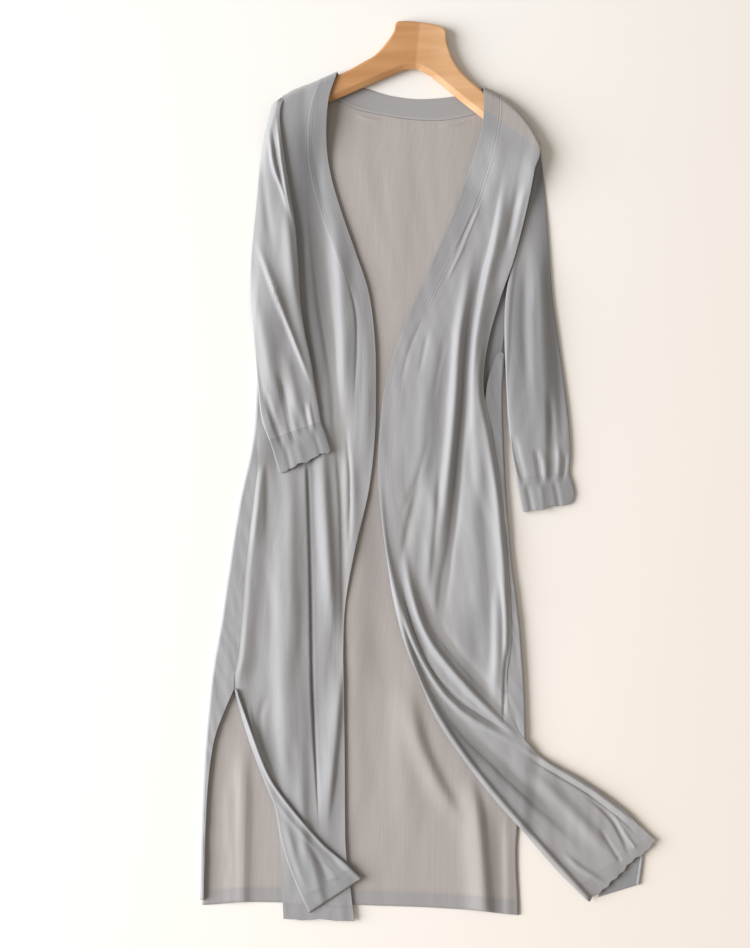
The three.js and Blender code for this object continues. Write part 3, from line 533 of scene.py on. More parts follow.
def ease(t):
    t = np.clip(t, 0, 1)
    return t * t * (3 - 2 * t)


def mix(a, b, share):
    return a + (b - a) * share


def bell(distance, width):
    return np.exp(-((distance / width) ** 2))


def xy(points):
    return points[..., 0], points[..., 1]


def at_height(points, z):
    return np.concatenate([points, z[..., None]], -1)


def place(x, y):
    """A plan point in millimetres from the part's origin, with its two numbers along the last axis."""
    right, up = (x - MIDDLE[0]) * PLAN_UNIT, (MIDDLE[1] - y) * PLAN_UNIT
    return np.stack(np.broadcast_arrays(right, up), -1)


def plan_x(x):
    return x / PLAN_UNIT + MIDDLE[0]


def plan_y(y):
    return MIDDLE[1] - y / PLAN_UNIT


def smooth(rows, column, t):
    """A column at row number t, along a smooth curve through the rows."""
    values = rows[column]
    last = len(values) - 1
    t = np.clip(t, 0, last)
    i = np.minimum(np.floor(t).astype(int), last - 1)
    s = t - i
    here, after = values[i], values[i + 1]
    slope_a = (after - values[np.maximum(i - 1, 0)]) / 2
    slope_b = (values[np.minimum(i + 2, last)] - here) / 2
    rise = after - here
    bend = s * s * (3 * rise - 2 * slope_a - slope_b)
    return here + s * slope_a + bend + s**3 * (slope_a + slope_b - 2 * rise)


def look_up(rows, key, at, column):
    """A column where the key column, which only grows, has the value given."""
    keys = rows[key]
    return smooth(rows, column, np.interp(at, keys, np.arange(len(keys))))


def follow(rows, names, t):
    """A plan point from two columns of a table at row number t."""
    x_name, y_name = names.split()
    return place(smooth(rows, x_name, t), smooth(rows, y_name, t))


def fold_height(folds, x, y):
    """The height that a list of folds adds at plan points in millimetres."""
    x, y = np.broadcast_arrays(x, y)
    height = np.zeros(x.shape)
    for points, width, tall, *rest in folds:
        lean, ends = (*rest, 0, 0)[:2]
        path = table("x y", points)
        spans = len(points) - 1
        curve = follow(path, "x y", np.linspace(0, spans, 8 * spans + 1))
        margin = 3.5 * width * (1 + abs(lean))
        low, high = curve.min(axis=0) - margin, curve.max(axis=0) + margin
        near = (x > low[0]) & (x < high[0]) & (y > low[1]) & (y < high[1])
        if not near.any():
            continue
        aside, share = beside_curve(curve, x[near], y[near])
        fade = ease(share / 0.35 + (ends == 2)) * ease((1 - share) / 0.35 + (ends == 1))
        reach = width * (1 + lean * np.tanh(aside / width))
        height[near] += tall * fade * bell(aside, reach)
    return height


def beside_curve(curve, x, y):
    """How far each point is to a curve's left, or with a minus sign to its right, and how far along it."""
    runs = np.diff(curve, axis=0)
    across, down = x[:, None] - curve[:-1, 0], y[:, None] - curve[:-1, 1]
    along = np.clip((across * runs[:, 0] + down * runs[:, 1]) / (runs**2).sum(axis=1), 0, 1)
    across, down = across - along * runs[:, 0], down - along * runs[:, 1]
    gap = np.hypot(across, down)
    nearest = gap.argmin(axis=1)
    row = np.arange(len(nearest))
    side = np.sign(runs[nearest, 0] * down[row, nearest] - runs[nearest, 1] * across[row, nearest])
    lengths = np.hypot(runs[:, 0], runs[:, 1])
    walked = np.concatenate([[0], np.cumsum(lengths)])
    share = (walked[nearest] + along[row, nearest] * lengths[nearest]) / walked[-1]
    return side * gap[row, nearest], share


def never_below(relief, lift, softness=0.6):
    """Lifts a relief a little so that it has troughs, and eases it off at nothing."""
    raised = (relief + lift) / softness
    return softness * np.logaddexp(0, raised)


def distance_to(lines, x, y):
    """The distance in plan to the nearest of a list of lines."""
    nearest = np.full(np.broadcast(x, y).shape, np.inf)
    for from_x, from_y, to_x, to_y in lines:
        start = place(from_x, from_y)
        run = place(to_x, to_y) - start
        share = np.clip(((x - start[0]) * run[0] + (y - start[1]) * run[1]) / (run @ run), 0, 1)
        nearest = np.minimum(nearest, np.hypot(x - start[0] - share * run[0], y - start[1] - share * run[1]))
    return nearest


def curl_up(x, y):
    """The height of the back's underside where it stands up round the hanger's upper edge."""
    radius = SHOULDER_Z - SEAM_GAP / 2
    turn = np.clip(1 - distance_to(SHOULDER_LINES, x, y) / radius, 0, 1)
    return radius * (1 - np.sqrt(1 - turn * turn))


def on_arms(x, y):
    return 1 - ease((distance_to(ARM_LINES, x, y) - ARM_HALF_WIDTH) / HANGER_RAMP)


def on_back(x, y):
    edge = look_up(BACK_OUTLINE, "y", plan_y(y), "right")
    return 1 - ease((plan_x(x) - edge - 1) / 14)


def drape(x, y, seed, height, across=30.0, along=190.0, slant=0.0):
    """Soft irregular drape lines, longer down the garment than across it, from 0 to height."""
    random = np.random.default_rng(seed)
    total = np.zeros(np.broadcast(x, y).shape)
    weight = 0.0
    for _ in range(9):
        size = random.uniform(0.55, 1.6)
        lean = slant + random.normal(0, 0.12)
        phase = random.uniform(0, 2 * math.pi, 2)
        sway = 1.1 * np.sin(2 * math.pi * y / (along * size) + phase[1])
        wave = np.sin(2 * math.pi * (x + lean * y) / (across * size) + phase[0] + sway)
        total += wave * size * (0.6 + 0.4 * np.sin(2 * math.pi * y / (along * 1.7 * size) + phase[1]))
        weight += size
    return height * (0.5 + 0.5 * np.tanh(1.8 * total / weight * 1.7))


def back_relief(x, y):
    away = ease((distance_to(SHOULDER_LINES, x, y) - 20) / 60)
    folds = fold_height(BACK_FOLDS, x, y) + drape(x, y, 3, 0.7, across=46, along=330)
    return never_below(folds, BACK_LIFT) * away


def rest_height(x, y):
    over = on_back(x, y)
    arms = on_arms(x, y)
    on_floor = ON_BACK * over + 0.05 * (1 - over)
    return mix(on_floor, ON_HANGER, arms) + back_relief(x, y) * over * (1 - arms)


FRONTS = {
    "right": dict(
        rows=RIGHT_FRONT, folds=RIGHT_FOLDS, painted_shades=RIGHT_PAINTED_SHADES, seed=11,
        rise_from=6, rise_to=14, swept_from=99, calm=1, tip=0, over_sleeve=0, wave=0.8, ripple=0.3,
    ),
    "left": dict(
        rows=LEFT_FRONT, folds=LEFT_FOLDS, painted_shades=LEFT_PAINTED_SHADES, seed=23,
        rise_from=5.5, rise_to=13.6, swept_from=13, calm=0, tip=4, over_sleeve=4, wave=1.1, ripple=0.8,
    ),
}
CALM_X = place(292, 300)[0] + 34
CALM_Y = place(300, 475)[1]


def beneath_right_sleeve(x, y):
    return ease((CALM_X - x) / 20) * ease((y - CALM_Y) / 20)


def front_flat(front, across, t):
    """Plan points of a front, without its height."""
    edge = follow(front["rows"], "edge_x edge_y", t)
    tip = np.stack([front["tip"] * np.sin(math.pi * np.clip(t, 0, 1)) ** 2, np.zeros_like(t)], -1)
    along = follow(front["rows"], "side_x side_y", t) + tip - edge
    length = np.hypot(along[..., 0], along[..., 1])
    bend = smooth(front["rows"], "bow", t) * PLAN_UNIT * 4 * across * (1 - across) / length
    turned = np.stack([-along[..., 1], along[..., 0]], -1)
    return edge + along * across[..., None] + turned * bend[..., None], length


def wavy_end(points, reach, depth, length, seed, ripple=0.0):
    """Moves a grid's last rows a little up and down the cloth, so that its end is not quite straight."""
    random = np.random.default_rng(seed)
    phase = random.uniform(0, 2 * math.pi, 3)
    along = np.linalg.norm(points - points[:, :1], axis=-1)
    wave = np.sin(along * 2 * math.pi / length + phase[0])
    wave += 0.7 * np.sin(along * 3.7 * math.pi / length + phase[1])
    wave += ripple * np.sin(along * 9.1 * math.pi / length + phase[2])
    run = points - points[-1:]
    distance = np.linalg.norm(run[..., :2], axis=-1)
    down = (points[-1:, :, :2] - points[-4:-3, :, :2])
    down /= np.maximum(np.linalg.norm(down, axis=-1, keepdims=True), 1e-9)
    moved = points.copy()
    moved[..., :2] += down * (depth * wave * ease(1 - distance / reach))[..., None]
    return moved


def front_points(front, across, down):
    """Points of a front's underside. across goes from the opening edge to the side, down counts the rows."""
    point, length = front_flat(front, across, down)
    x, y = xy(point)
    from_side = (1 - across) * length
    seamed = ease((down - front["rise_from"]) / 1.5) * ease((front["rise_to"] + 0.4 - down) / 1.2)
    rise = SIDE_RISE * seamed * (1 - ease(from_side / SIDE_RISE_WIDTH))
    over_sleeve = front["over_sleeve"] * ease(down / 1.2) * ease((OVER_SLEEVE_TO - down) / 1.2)
    rise += over_sleeve * (1 - ease(from_side / 24))
    swept = UNDERLAY * ease((down - front["swept_from"]) / 1.5)
    calm = front["calm"] * beneath_right_sleeve(x, y)
    relief = fold_height(front["folds"], x, y) + drape(x, y, front["seed"], 1.0) * (1 - on_arms(x, y))
    relief = never_below(relief, FRONT_LIFT)
    relief = relief * (1 - calm) * (1 - seamed * (1 - ease(from_side / 8)))
    lying = rest_height(x, y) + rise + swept + relief
    shoulder, _ = front_flat(front, across, np.zeros_like(down))
    turn = np.clip(1 - np.hypot(*np.moveaxis(point - shoulder, -1, 0)) / SHOULDER_RADIUS, 0, 1)
    start = SHOULDER_Z + SEAM_GAP / 2
    z = start + (lying - start) * np.sqrt(1 - turn * turn)
    return np.stack([x, y, z], -1)


def grid_of(downs, acrosses):
    down, across = np.meshgrid(downs, acrosses, indexing="ij")
    return down.astype(float), across.astype(float)


def normals_of(points, ring=False):
    """Unit normals of a grid of points; a ring's columns close on themselves."""
    down = np.gradient(points, axis=0)
    if ring:
        across = np.roll(points, -1, axis=1) - np.roll(points, 1, axis=1)
    else:
        across = np.gradient(points, axis=1)
    normals = np.cross(down, across)
    normals /= np.maximum(np.linalg.norm(normals, axis=-1, keepdims=True), 1e-12)
    if ring:
        inward = points.mean(axis=1, keepdims=True) - points
        return normals * np.sign((normals * inward).sum())
    return normals * np.sign(normals[..., 2].sum())


def wall_mesh(points, wall, ring=False, behind=0.0, normals=None):
    """Vertices and faces of a wall of cloth on a grid: upwards from a sheet, or inwards from a ring."""
    if normals is None:
        normals = normals_of(points, ring)
    rows, columns = points.shape[:2]
    wall = np.broadcast_to(np.asarray(wall, float), (rows, columns))[..., None]
    upper = points + normals * wall * (1 - behind)
    lower = points - normals * wall * behind
    vertices = np.concatenate([upper.reshape(-1, 3), lower.reshape(-1, 3)])
    index = np.arange(rows * columns).reshape(rows, columns)
    if ring:
        index = np.concatenate([index, index[:, :1]], axis=1)
    second = index + rows * columns
    a, b, c, d = index[:-1, :-1], index[1:, :-1], index[1:, 1:], index[:-1, 1:]
    faces = [np.stack([a, b, c, d], -1).reshape(-1, 4)]
    a, b, c, d = second[:-1, :-1], second[:-1, 1:], second[1:, 1:], second[1:, :-1]
    faces.append(np.stack([a, b, c, d], -1).reshape(-1, 4))
    faces.append(np.stack([index[0, :-1], index[0, 1:], second[0, 1:], second[0, :-1]], -1))
    faces.append(np.stack([index[-1, 1:], index[-1, :-1], second[-1, :-1], second[-1, 1:]], -1))
    if not ring:
        faces.append(np.stack([index[1:, 0], index[:-1, 0], second[:-1, 0], second[1:, 0]], -1))
        faces.append(np.stack([index[:-1, -1], index[1:, -1], second[1:, -1], second[:-1, -1]], -1))
    return vertices, np.concatenate(faces)


def cloth_lengths(points):
    """Each grid point's place on the cloth, in millimetres across and down."""
    step = np.linalg.norm(np.diff(points, axis=1), axis=-1)
    across = np.concatenate([np.zeros((len(points), 1)), np.cumsum(step, axis=1)], axis=1)
    step = np.linalg.norm(np.diff(points, axis=0), axis=-1).mean(axis=1)
    down = np.concatenate([[0], np.cumsum(step)])
    return np.stack([across, np.broadcast_to(down[:, None], across.shape)], -1)


def drawn_in(vertices):
    """Draws raised points in towards the point that the plan tables were seen from."""
    eye = place(*EYE)
    nearer = 1 - vertices[:, 2:] / EYE_HEIGHT
    return np.concatenate([eye + (vertices[:, :2] - eye) * nearer, vertices[:, 2:]], axis=1)


def facing_out(vertices, faces):
    a, b, c, d = (vertices[faces[:, k]] for k in range(4))
    volume = (np.cross(b - a, c - a) * a).sum() + (np.cross(c - a, d - a) * a).sum()
    return faces if volume > 0 else faces[:, ::-1]


def wall_object(name, parts, material, node):
    """One object of one or more walls. Each part is (points, wall, settings, tone, warmth)."""
    vertices, faces, uvs, tones, warmths = [], [], [], [], []
    start = 0
    for points, wall, settings, tone, warmth in parts:
        some, quads = wall_mesh(points, wall, **settings)
        quads = facing_out(some, quads)
        vertices.append(some)
        faces.append(quads + start)
        uvs.append(np.tile(cloth_lengths(points).reshape(-1, 2), (2, 1)))
        tones.append(np.tile(np.broadcast_to(tone, points.shape[:2]).reshape(-1), 2))
        warmths.append(np.tile(np.broadcast_to(warmth, points.shape[:2]).reshape(-1), 2))
        start += len(some)
    vertices = drawn_in(np.concatenate(vertices)) * MM
    faces = np.concatenate(faces)
    mesh = bpy.data.meshes.new(name)
    mesh.from_pydata(vertices.tolist(), [], faces.tolist())
    uv = mesh.uv_layers.new(name="cloth")
    uv.data.foreach_set("uv", (np.concatenate(uvs) * MM)[faces.reshape(-1)].reshape(-1))
    for layer, values in (("tone", tones), ("warmth", warmths)):
        mesh.attributes.new(layer, "FLOAT", "POINT").data.foreach_set("value", np.concatenate(values))
    mesh.polygons.foreach_set("use_smooth", np.ones(len(faces), bool))
    mesh.materials.append(material)
    mesh.update()
    piece = bpy.data.objects.new(name, mesh)
    bpy.context.scene.collection.objects.link(piece)
    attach(piece, "root")
    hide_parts(node)
    return piece


# Materials


def new_material(name):
    material = bpy.data.materials.new(name)
    material.use_nodes = True
    return material, material.node_tree, material.node_tree.nodes["Principled BSDF"]


def feed(tree, node, sockets):
    """Sets each named socket to a value, or links it to another node's output."""
    for name, source in sockets.items():
        if isinstance(source, bpy.types.NodeSocket):
            tree.links.new(source, node.inputs[name])
        else:
            node.inputs[name].default_value = source


def add(tree, kind, output, sockets=None, **settings):
    """Adds a shader node, with its settings and sockets, and gives back one of its outputs."""
    node = tree.nodes.new("ShaderNode" + kind)
    for name, value in settings.items():
        setattr(node, name, value)
    feed(tree, node, sockets or {})
    return node.outputs[output]


def add_mix(tree, factor, first, second, blend="MIX"):
    sockets = {"A": first, "B": second, "Factor": factor}
    return add(tree, "Mix", "Result", sockets, data_type="RGBA", blend_type=blend)


def add_ramp(tree, share, *stops):
    """A ramp between two stops, each a position and a colour."""
    ramp = tree.nodes.new("ShaderNodeValToRGB")
    for element, (position, colour) in zip(ramp.color_ramp.elements, stops):
        element.position = position
        element.color = (*colour, 1)
    tree.links.new(share, ramp.inputs["Fac"])
    return ramp.outputs["Color"]


def knit_material(name, streaks, ribs):
    """A fine knit with faint wales and streaks, darker by its tone and browner by its warmth, both of which
    also carry painted shade.
    """
    material, tree, shader = new_material(name)
    cloth = add(tree, "TexCoord", "UV")
    drawn_out = add(tree, "Mapping", "Vector", {"Vector": cloth, "Scale": (1.0, 0.12, 1.0)})
    grain = {"Scale": 130.0, "Detail": 4.0, "Roughness": 0.6}
    streak = add(tree, "TexNoise", "Fac", {"Vector": drawn_out, **grain})
    mottle = add(tree, "TexNoise", "Fac", {"Vector": cloth, "Scale": 420.0, "Detail": 3.0})
    lengthened = add(tree, "Mapping", "Vector", {"Vector": cloth, "Scale": (1.0, 0.03, 1.0)})
    wales = add(tree, "TexNoise", "Fac", {"Vector": lengthened, "Scale": 300.0, "Detail": 1.0})

    warmth = add(tree, "Attribute", "Fac", attribute_name="warmth")
    tone = add(tree, "Attribute", "Fac", attribute_name="tone")
    tint = add_mix(tree, warmth, COOL_GREY, WARM_GREY)
    darken = add(tree, "Math", "Value", {0: streak, 1: streaks, 2: tone}, operation="MULTIPLY_ADD")
    shaded = add_mix(tree, darken, tint, DARK_GREY, "MULTIPLY")

    height = add(tree, "Math", "Value", {0: wales, 1: ribs, 2: mottle}, operation="MULTIPLY_ADD")
    fine = add(tree, "Bump", "Normal", {"Strength": 0.16, "Distance": 0.0006, "Height": height})
    streaked = {"Strength": 0.12, "Distance": 0.0025, "Height": streak, "Normal": fine}
    long = add(tree, "Bump", "Normal", streaked)
    feed(tree, shader, {"Base Color": shaded, "Normal": long, "Roughness": 0.55, "Specular IOR Level": 0.3})
    feed(tree, shader, {"Sheen Weight": 0.3, "Sheen Roughness": 0.4})
    return material


def beech_material():
    material, tree, shader = new_material("beech")
    where = add(tree, "TexCoord", "Object")
    turn = (0, 0, math.radians(9))
    along = add(tree, "Mapping", "Vector", {"Vector": where, "Rotation": turn, "Scale": (5.0, 60.0, 20.0)})
    grain = add(tree, "TexNoise", "Fac", {"Vector": along, "Scale": 1.0, "Detail": 6.0, "Distortion": 0.4})
    wood = add_ramp(tree, grain, (0.32, (0.50, 0.25, 0.105)), (0.7, (0.64, 0.355, 0.17)))
    # Here the warmth attribute holds painted light: the more of it, the lighter and less orange the wood
    warmth = add(tree, "Attribute", "Fac", attribute_name="warmth")
    tint = add_mix(tree, warmth, (0.87, 0.83, 0.77, 1), (1.17, 1.3, 1.5, 1))
    bump = add(tree, "Bump", "Normal", {"Strength": 0.08, "Distance": 0.0004, "Height": grain})
    tinted = add_mix(tree, 1.0, wood, tint, "MULTIPLY")
    feed(tree, shader, {"Base Color": tinted, "Normal": bump, "Roughness": 0.38})
    return material


def floor_material():
    """Whiter towards the picture's left, creamier towards its right: painted light, whiter on the side of the
    key light.
    """
    material, tree, shader = new_material("pale_floor")
    where = add(tree, "TexCoord", "Object")
    rightwards = add(tree, "VectorMath", "Value", {0: where, 1: (1.0, -0.42, 0)}, operation="DOT_PRODUCT")
    share = add(tree, "MapRange", "Result", {"Value": rightwards, "From Min": -0.35, "From Max": 0.5})
    colour = add_ramp(tree, share, (0.0, (0.83, 0.82, 0.80)), (1.0, (0.85, 0.79, 0.735)))
    feed(tree, shader, {"Base Color": colour, "Roughness": 0.8})
    return material


KNIT = knit_material("fine_knit", 0.08, 0.5)
DOUBLE_KNIT = knit_material("double_knit", 0.12, 1.6)
BEECH = beech_material()

# The cloth


def turned_edge(fold, free, radius, sheet_z, up):
    """A turned edge's grid: a short leg in the sheet, a half-round fold, and a leg out to the free edge."""
    inward = free - fold
    width = np.hypot(inward[:, 0], inward[:, 1])
    inward = inward / width[:, None]
    centre = radius + CLOTH / 2
    angles = np.radians(np.linspace(-90, 90, FOLD_STEPS))
    asides = [np.full_like(width, centre + HIDDEN_LEG)]
    asides += [np.full_like(width, centre - radius * math.cos(angle)) for angle in angles]
    overs = [0.0] + [radius * (1 + math.sin(angle)) for angle in angles]
    end = np.maximum(width, centre + 0.6)
    for share in (*np.linspace(0.05, 0.985, 26), 0.997, 1):
        asides.append(mix(centre, end, share))
        overs.append(2 * radius)
    aside = np.stack(asides, 1)
    at = fold[:, None, :] + inward[:, None, :] * aside[..., None]
    return at_height(at, sheet_z(*xy(at)) + up * np.array(overs)[None, :])


def with_rim(flap):
    """A soft rolled rim along a flap's free edge."""
    from_edge = np.linalg.norm(flap - flap[:, -1:], axis=-1)
    on_top = np.arange(flap.shape[1]) > FOLD_STEPS
    raised = flap.copy()
    raised[..., 2] += RIM_HEIGHT * bell(from_edge - 2.2, 2) * on_top
    return raised


def side_point(front, t):
    return follow(front["rows"], "side_x side_y", t)


def back_top(x):
    """The height of the back's upper end, smooth along the neck and straight at the shoulders."""
    straight = np.interp(x, BACK_TOP["x"], BACK_TOP["y"])
    return np.where((x > NECK_LEFT) & (x < NECK_RIGHT), look_up(BACK_TOP, "x", x, "y"), straight)


def turn_inset(side, y):
    """How far inside the outline a side of the back ends, so that its turned edge has room to roll."""
    begins, begin_run, ends, end_run = BACK_TURNED[side]
    return ease((y - begins) / begin_run) * ease((ends - y) / end_run) * SIDE_ROLL / PLAN_UNIT


def back_points():
    """The back's underside, and how far each point is from the hem."""
    even = np.linspace(BACK_LEFT, BACK_RIGHT, BACK_COLUMNS)
    apart = np.abs(even[:, None] - BACK_TOP["x"]).min(axis=1) > LEAST_COLUMN
    top_x = np.sort(np.concatenate([even[apart], BACK_TOP["x"]]))
    u = (top_x - top_x[0]) / (top_x[-1] - top_x[0])
    curl = np.array([0, 0.6, 1.2, 2.0, 3.0, 4.2, 5.6, 7.2, 9.0, 11.5]) / BACK_LENGTH
    v = np.concatenate([curl, np.linspace(0.014, 1, BACK_ROWS)])
    v, u = grid_of(v, u)
    top = back_top(mix(BACK_LEFT, BACK_RIGHT, u))
    hem = look_up(BACK_HEM, "x", mix(*BACK_HEM["x"][[0, -1]], u), "y")
    y = mix(top, hem, v)
    left = look_up(BACK_OUTLINE, "y", y, "left") + turn_inset("left", y)
    right = look_up(BACK_OUTLINE, "y", y, "right") - turn_inset("right", y)
    x = mix(mix(BACK_LEFT, BACK_RIGHT, u), mix(left, right, u), ease((y - top) / 60))
    point = place(x, y)
    z = curl_up(*xy(point)) + back_relief(*xy(point))
    return at_height(point, z), (hem - y) * PLAN_UNIT


def hem_tone(from_hem):
    """A darker doubled hem with a stitched line at its upper edge."""
    return HEM_SHADE * (from_hem < HEM_DEPTH) + HEM_LINE_TONE * bell(from_hem - HEM_DEPTH, 1.6)


def hem_wall(from_hem):
    return CLOTH + HEM_EXTRA * ease((HEM_DEPTH - from_hem) / 3)


def front_warmth(name, points):
    """Where a single layer lies on the floor, or the hanger's wood shows through, the cloth looks warmer, and
    the folds' troughs get a painted warm shade.
    """
    x, y = plan_x(points[..., 0]), plan_y(points[..., 1])
    relief = fold_height(FRONTS[name]["folds"], *xy(points))
    # Painted warm shade in the folds' troughs
    warm_shade_in_troughs = TROUGH_WARM_SHADE * (1 - ease((relief + 3) / 4.5)) * ease((y - TROUGHS_FROM) / 60)
    if name == "right":
        return warm_shade_in_troughs
    beside = ease((x - ON_FLOOR_LEFT) / 10) * ease((y - ON_FLOOR_TOP) / 20) * ON_FLOOR_WARMTH
    arm_x, arm_y, arm_slope = ARM_LOW_EDGE
    wood = ease(((x - arm_x) * arm_slope - (y - arm_y) + 1.5) / 3) * (y < WOOD_SHOWN_TO)
    return np.maximum(np.maximum(beside, warm_shade_in_troughs), wood * WOOD_WARMTH)


def over_side(x, y):
    """The middle of the cloth where the back's sides turn over, with slanting creases."""
    return CLOTH / 2 + back_relief(x, y) + drape(x, y, SLIT_CREASE_SEED, 1.0, across=17, along=90, slant=0.3)


def turned_side(free, side):
    """One side of the back, folded over on to its face as far as the free edge."""
    y = plan_y(free[:, 1])
    on_right = side == "right"
    slant = 5 * (1 - ease((y - 350) / 14)) * on_right
    fold = place(look_up(BACK_OUTLINE, "y", y + slant, side), y + slant)
    # Painted shade on the right turned side, which lies in the left front's shadow under the arm
    tone = UNDERARM_PAINTED_SHADE * (1 - ease((y - 440) / 110)) * on_right
    return turned_edge(fold, free, SIDE_ROLL, over_side, 1), CLOTH, dict(behind=0.5), tone[:, None], 0.0


def back_sides():
    """The back's two sides, which meet the fronts at the side seams and roll over at the slits."""
    gap = np.array([SIDE_SEAM_GAP, 0])
    rolls = len(SLIT_ROLL["x"]) - 1
    left = np.concatenate([
        side_point(FRONTS["right"], np.linspace(RIGHT_SEAM_FROM, RIGHT_SLIT_ROW, 90)) - gap,
        follow(SLIT_ROLL, "x y", np.linspace(0, rolls, 60)[1:]),
    ])
    right = np.concatenate([
        follow(LEFT_PANEL_TOP, "x y", np.linspace(0, 4, 20)[:-1]),
        side_point(FRONTS["left"], np.linspace(LEFT_SEAM_FROM, LEFT_SLIT_ROW, 90)) + gap,
        follow(LEFT_SLIT_ROLL, "x y", np.linspace(0, 3, 16)[1:]),
    ])
    return [turned_side(left, "left"), turned_side(right, "right")]


def make_back():
    points, from_hem = back_points()
    x, y = plan_x(points[..., 0]), plan_y(points[..., 1])
    # Painted shade beside the left front's underarm, where the back lies in the fold's shadow; there it is
    # not warmed either
    shaded = ease((x - UNDERARM_LEFT) / 6) * ease((y - UNDERARM_TOP) / 30)
    shaded *= 1 - ease((y - UNDERARM_LOW) / 12)
    warmth = (1 - HEM_WARMTH_LOST * (from_hem < HEM_DEPTH)) * (1 - shaded)
    tone = hem_tone(from_hem) + UNDERARM_PAINTED_SHADE * shaded
    # Painted shade in the back's shaded hollows
    tone += fold_height(BACK_PAINTED_SHADES, *xy(points))
    parts = [(points, hem_wall(from_hem), {}, tone, warmth), *back_sides()]
    return wall_object("back_cloth", parts, KNIT, "back")


def front_downs(front, count):
    last = len(front["rows"]["bow"]) - 1
    shoulder = [0, 0.012, 0.03, 0.055, 0.085, 0.12, 0.155, 0.19, 0.23]
    return np.concatenate([shoulder, np.linspace(0.3, last, count)])


def front_grid(front):
    """A front's underside, with its first columns in the band and the others in the panel."""
    downs = front_downs(front, FRONT_ROWS)
    edge = follow(front["rows"], "edge_x edge_y", downs)
    seam = BAND_WIDTH / np.hypot(*(edge - side_point(front, downs)).T)
    half = seam * TOUCHING_GAP / 2 / BAND_WIDTH
    band_shares = np.concatenate([[0, 0.02], np.linspace(0.06, 0.96, BAND_COLUMNS - 4), [0.994, 1]])
    body_shares = np.concatenate([[0, 0.0012], np.linspace(0.008, 0.99, BODY_COLUMNS - 4), [0.9975, 1]])
    across = np.concatenate([
        (seam - half)[:, None] * band_shares[None, :],
        (seam + half)[:, None] * (1 - body_shares)[None, :] + body_shares[None, :],
    ], axis=1)
    points = front_points(front, across, np.broadcast_to(downs[:, None], across.shape))
    return wavy_end(points, END_REACH, front["wave"], END_WAVE, front["seed"], front["ripple"])


def front_normals(points):
    """Normals that the band and the panel share where they meet."""
    normals = normals_of(points)
    last_of_band = BAND_COLUMNS - 1
    shared = normals[:, last_of_band] + normals[:, BAND_COLUMNS]
    shared /= np.linalg.norm(shared, axis=-1, keepdims=True)
    normals[:, last_of_band] = normals[:, BAND_COLUMNS] = shared
    return normals


def on_right_front(x, y):
    """The middle of the cloth on the right front's folds."""
    relief = fold_height(RIGHT_FOLDS, x, y) + drape(x, y, FRONTS["right"]["seed"], 1.0)
    return rest_height(x, y) + never_below(relief, FRONT_LIFT) + CLOTH / 2


def under_left_front(x, y):
    return rest_height(x, y) + UNDERLAY + CLOTH / 2


def right_flap():
    """The slit's corner, turned over on to the right front."""
    t = np.linspace(0, 7, 80)
    fold, free = follow(RIGHT_FLAP, "fold_x fold_y", t), follow(RIGHT_FLAP, "free_x free_y", t)
    flap = with_rim(turned_edge(fold, free, FLAP_ROLL, on_right_front, 1))
    on_top = np.arange(flap.shape[1]) > FOLD_STEPS + 1
    flap[..., 2] += fold_height(FLAP_FOLDS, *xy(flap)) * on_top
    return flap


def left_flap():
    """The layer that is turned in under the swept part of the left front."""
    t = np.linspace(0, 5, 60)
    fold, free = follow(LEFT_FLAP, "fold_x fold_y", t), follow(LEFT_FLAP, "free_x free_y", t)
    return turned_edge(fold, free, UNDERLAY / 2, under_left_front, -1)


def flap_part(flap):
    """A turned flap, darker where it lies open, with a doubled hem at its last row."""
    open_part = ease((plan_y(flap[..., 1]) - FLAP_OPENS) / 30)
    from_end = np.linalg.norm(flap - flap[-1:], axis=-1)
    return flap, CLOTH, dict(behind=0.5), FLAP_TONE * open_part + hem_tone(from_end), 0.0


def make_front(name):
    front = FRONTS[name]
    points = front_grid(front)
    normals = front_normals(points)
    row_length = np.linalg.norm(np.diff(points[:, 2 * BAND_COLUMNS], axis=0), axis=-1)
    to_hem = np.concatenate([np.cumsum(row_length[::-1])[::-1], [0]])
    from_hem = to_hem[:, None] * np.ones((1, points.shape[1]))
    from_seam = np.linalg.norm(points - points[:, BAND_COLUMNS : BAND_COLUMNS + 1], axis=-1)
    groove = bell(from_seam, 1.2)
    shown = 1 - ease((plan_y(points[..., 1]) - SEAM_SHOWN_TO[name]) / 60)
    stitched = bell(from_seam - 1.6, 1.1)
    tone = hem_tone(from_hem) + 0.03 * groove * shown
    # Painted shade in the front's shaded hollows and cast shadows
    tone += fold_height(front["painted_shades"], *xy(points))
    wall = hem_wall(from_hem) + SEAM_RIDGE * stitched * shown
    warm = front_warmth(name, points)

    def part(columns, tone):
        settings = dict(normals=normals[columns])
        return points[columns], wall[columns], settings, tone[columns], warm[columns]

    body_part = part(np.s_[:, BAND_COLUMNS:], tone)
    band_part = part(np.s_[:, :BAND_COLUMNS], tone + BAND_TONE[name] * shown)
    flap = right_flap() if name == "right" else left_flap()
    body = wall_object(f"front_{name}_cloth", [body_part, flap_part(flap)], KNIT, f"front_{name}")
    band = wall_object(f"band_{name}_cloth", [band_part], DOUBLE_KNIT, f"band_{name}")
    return body, band


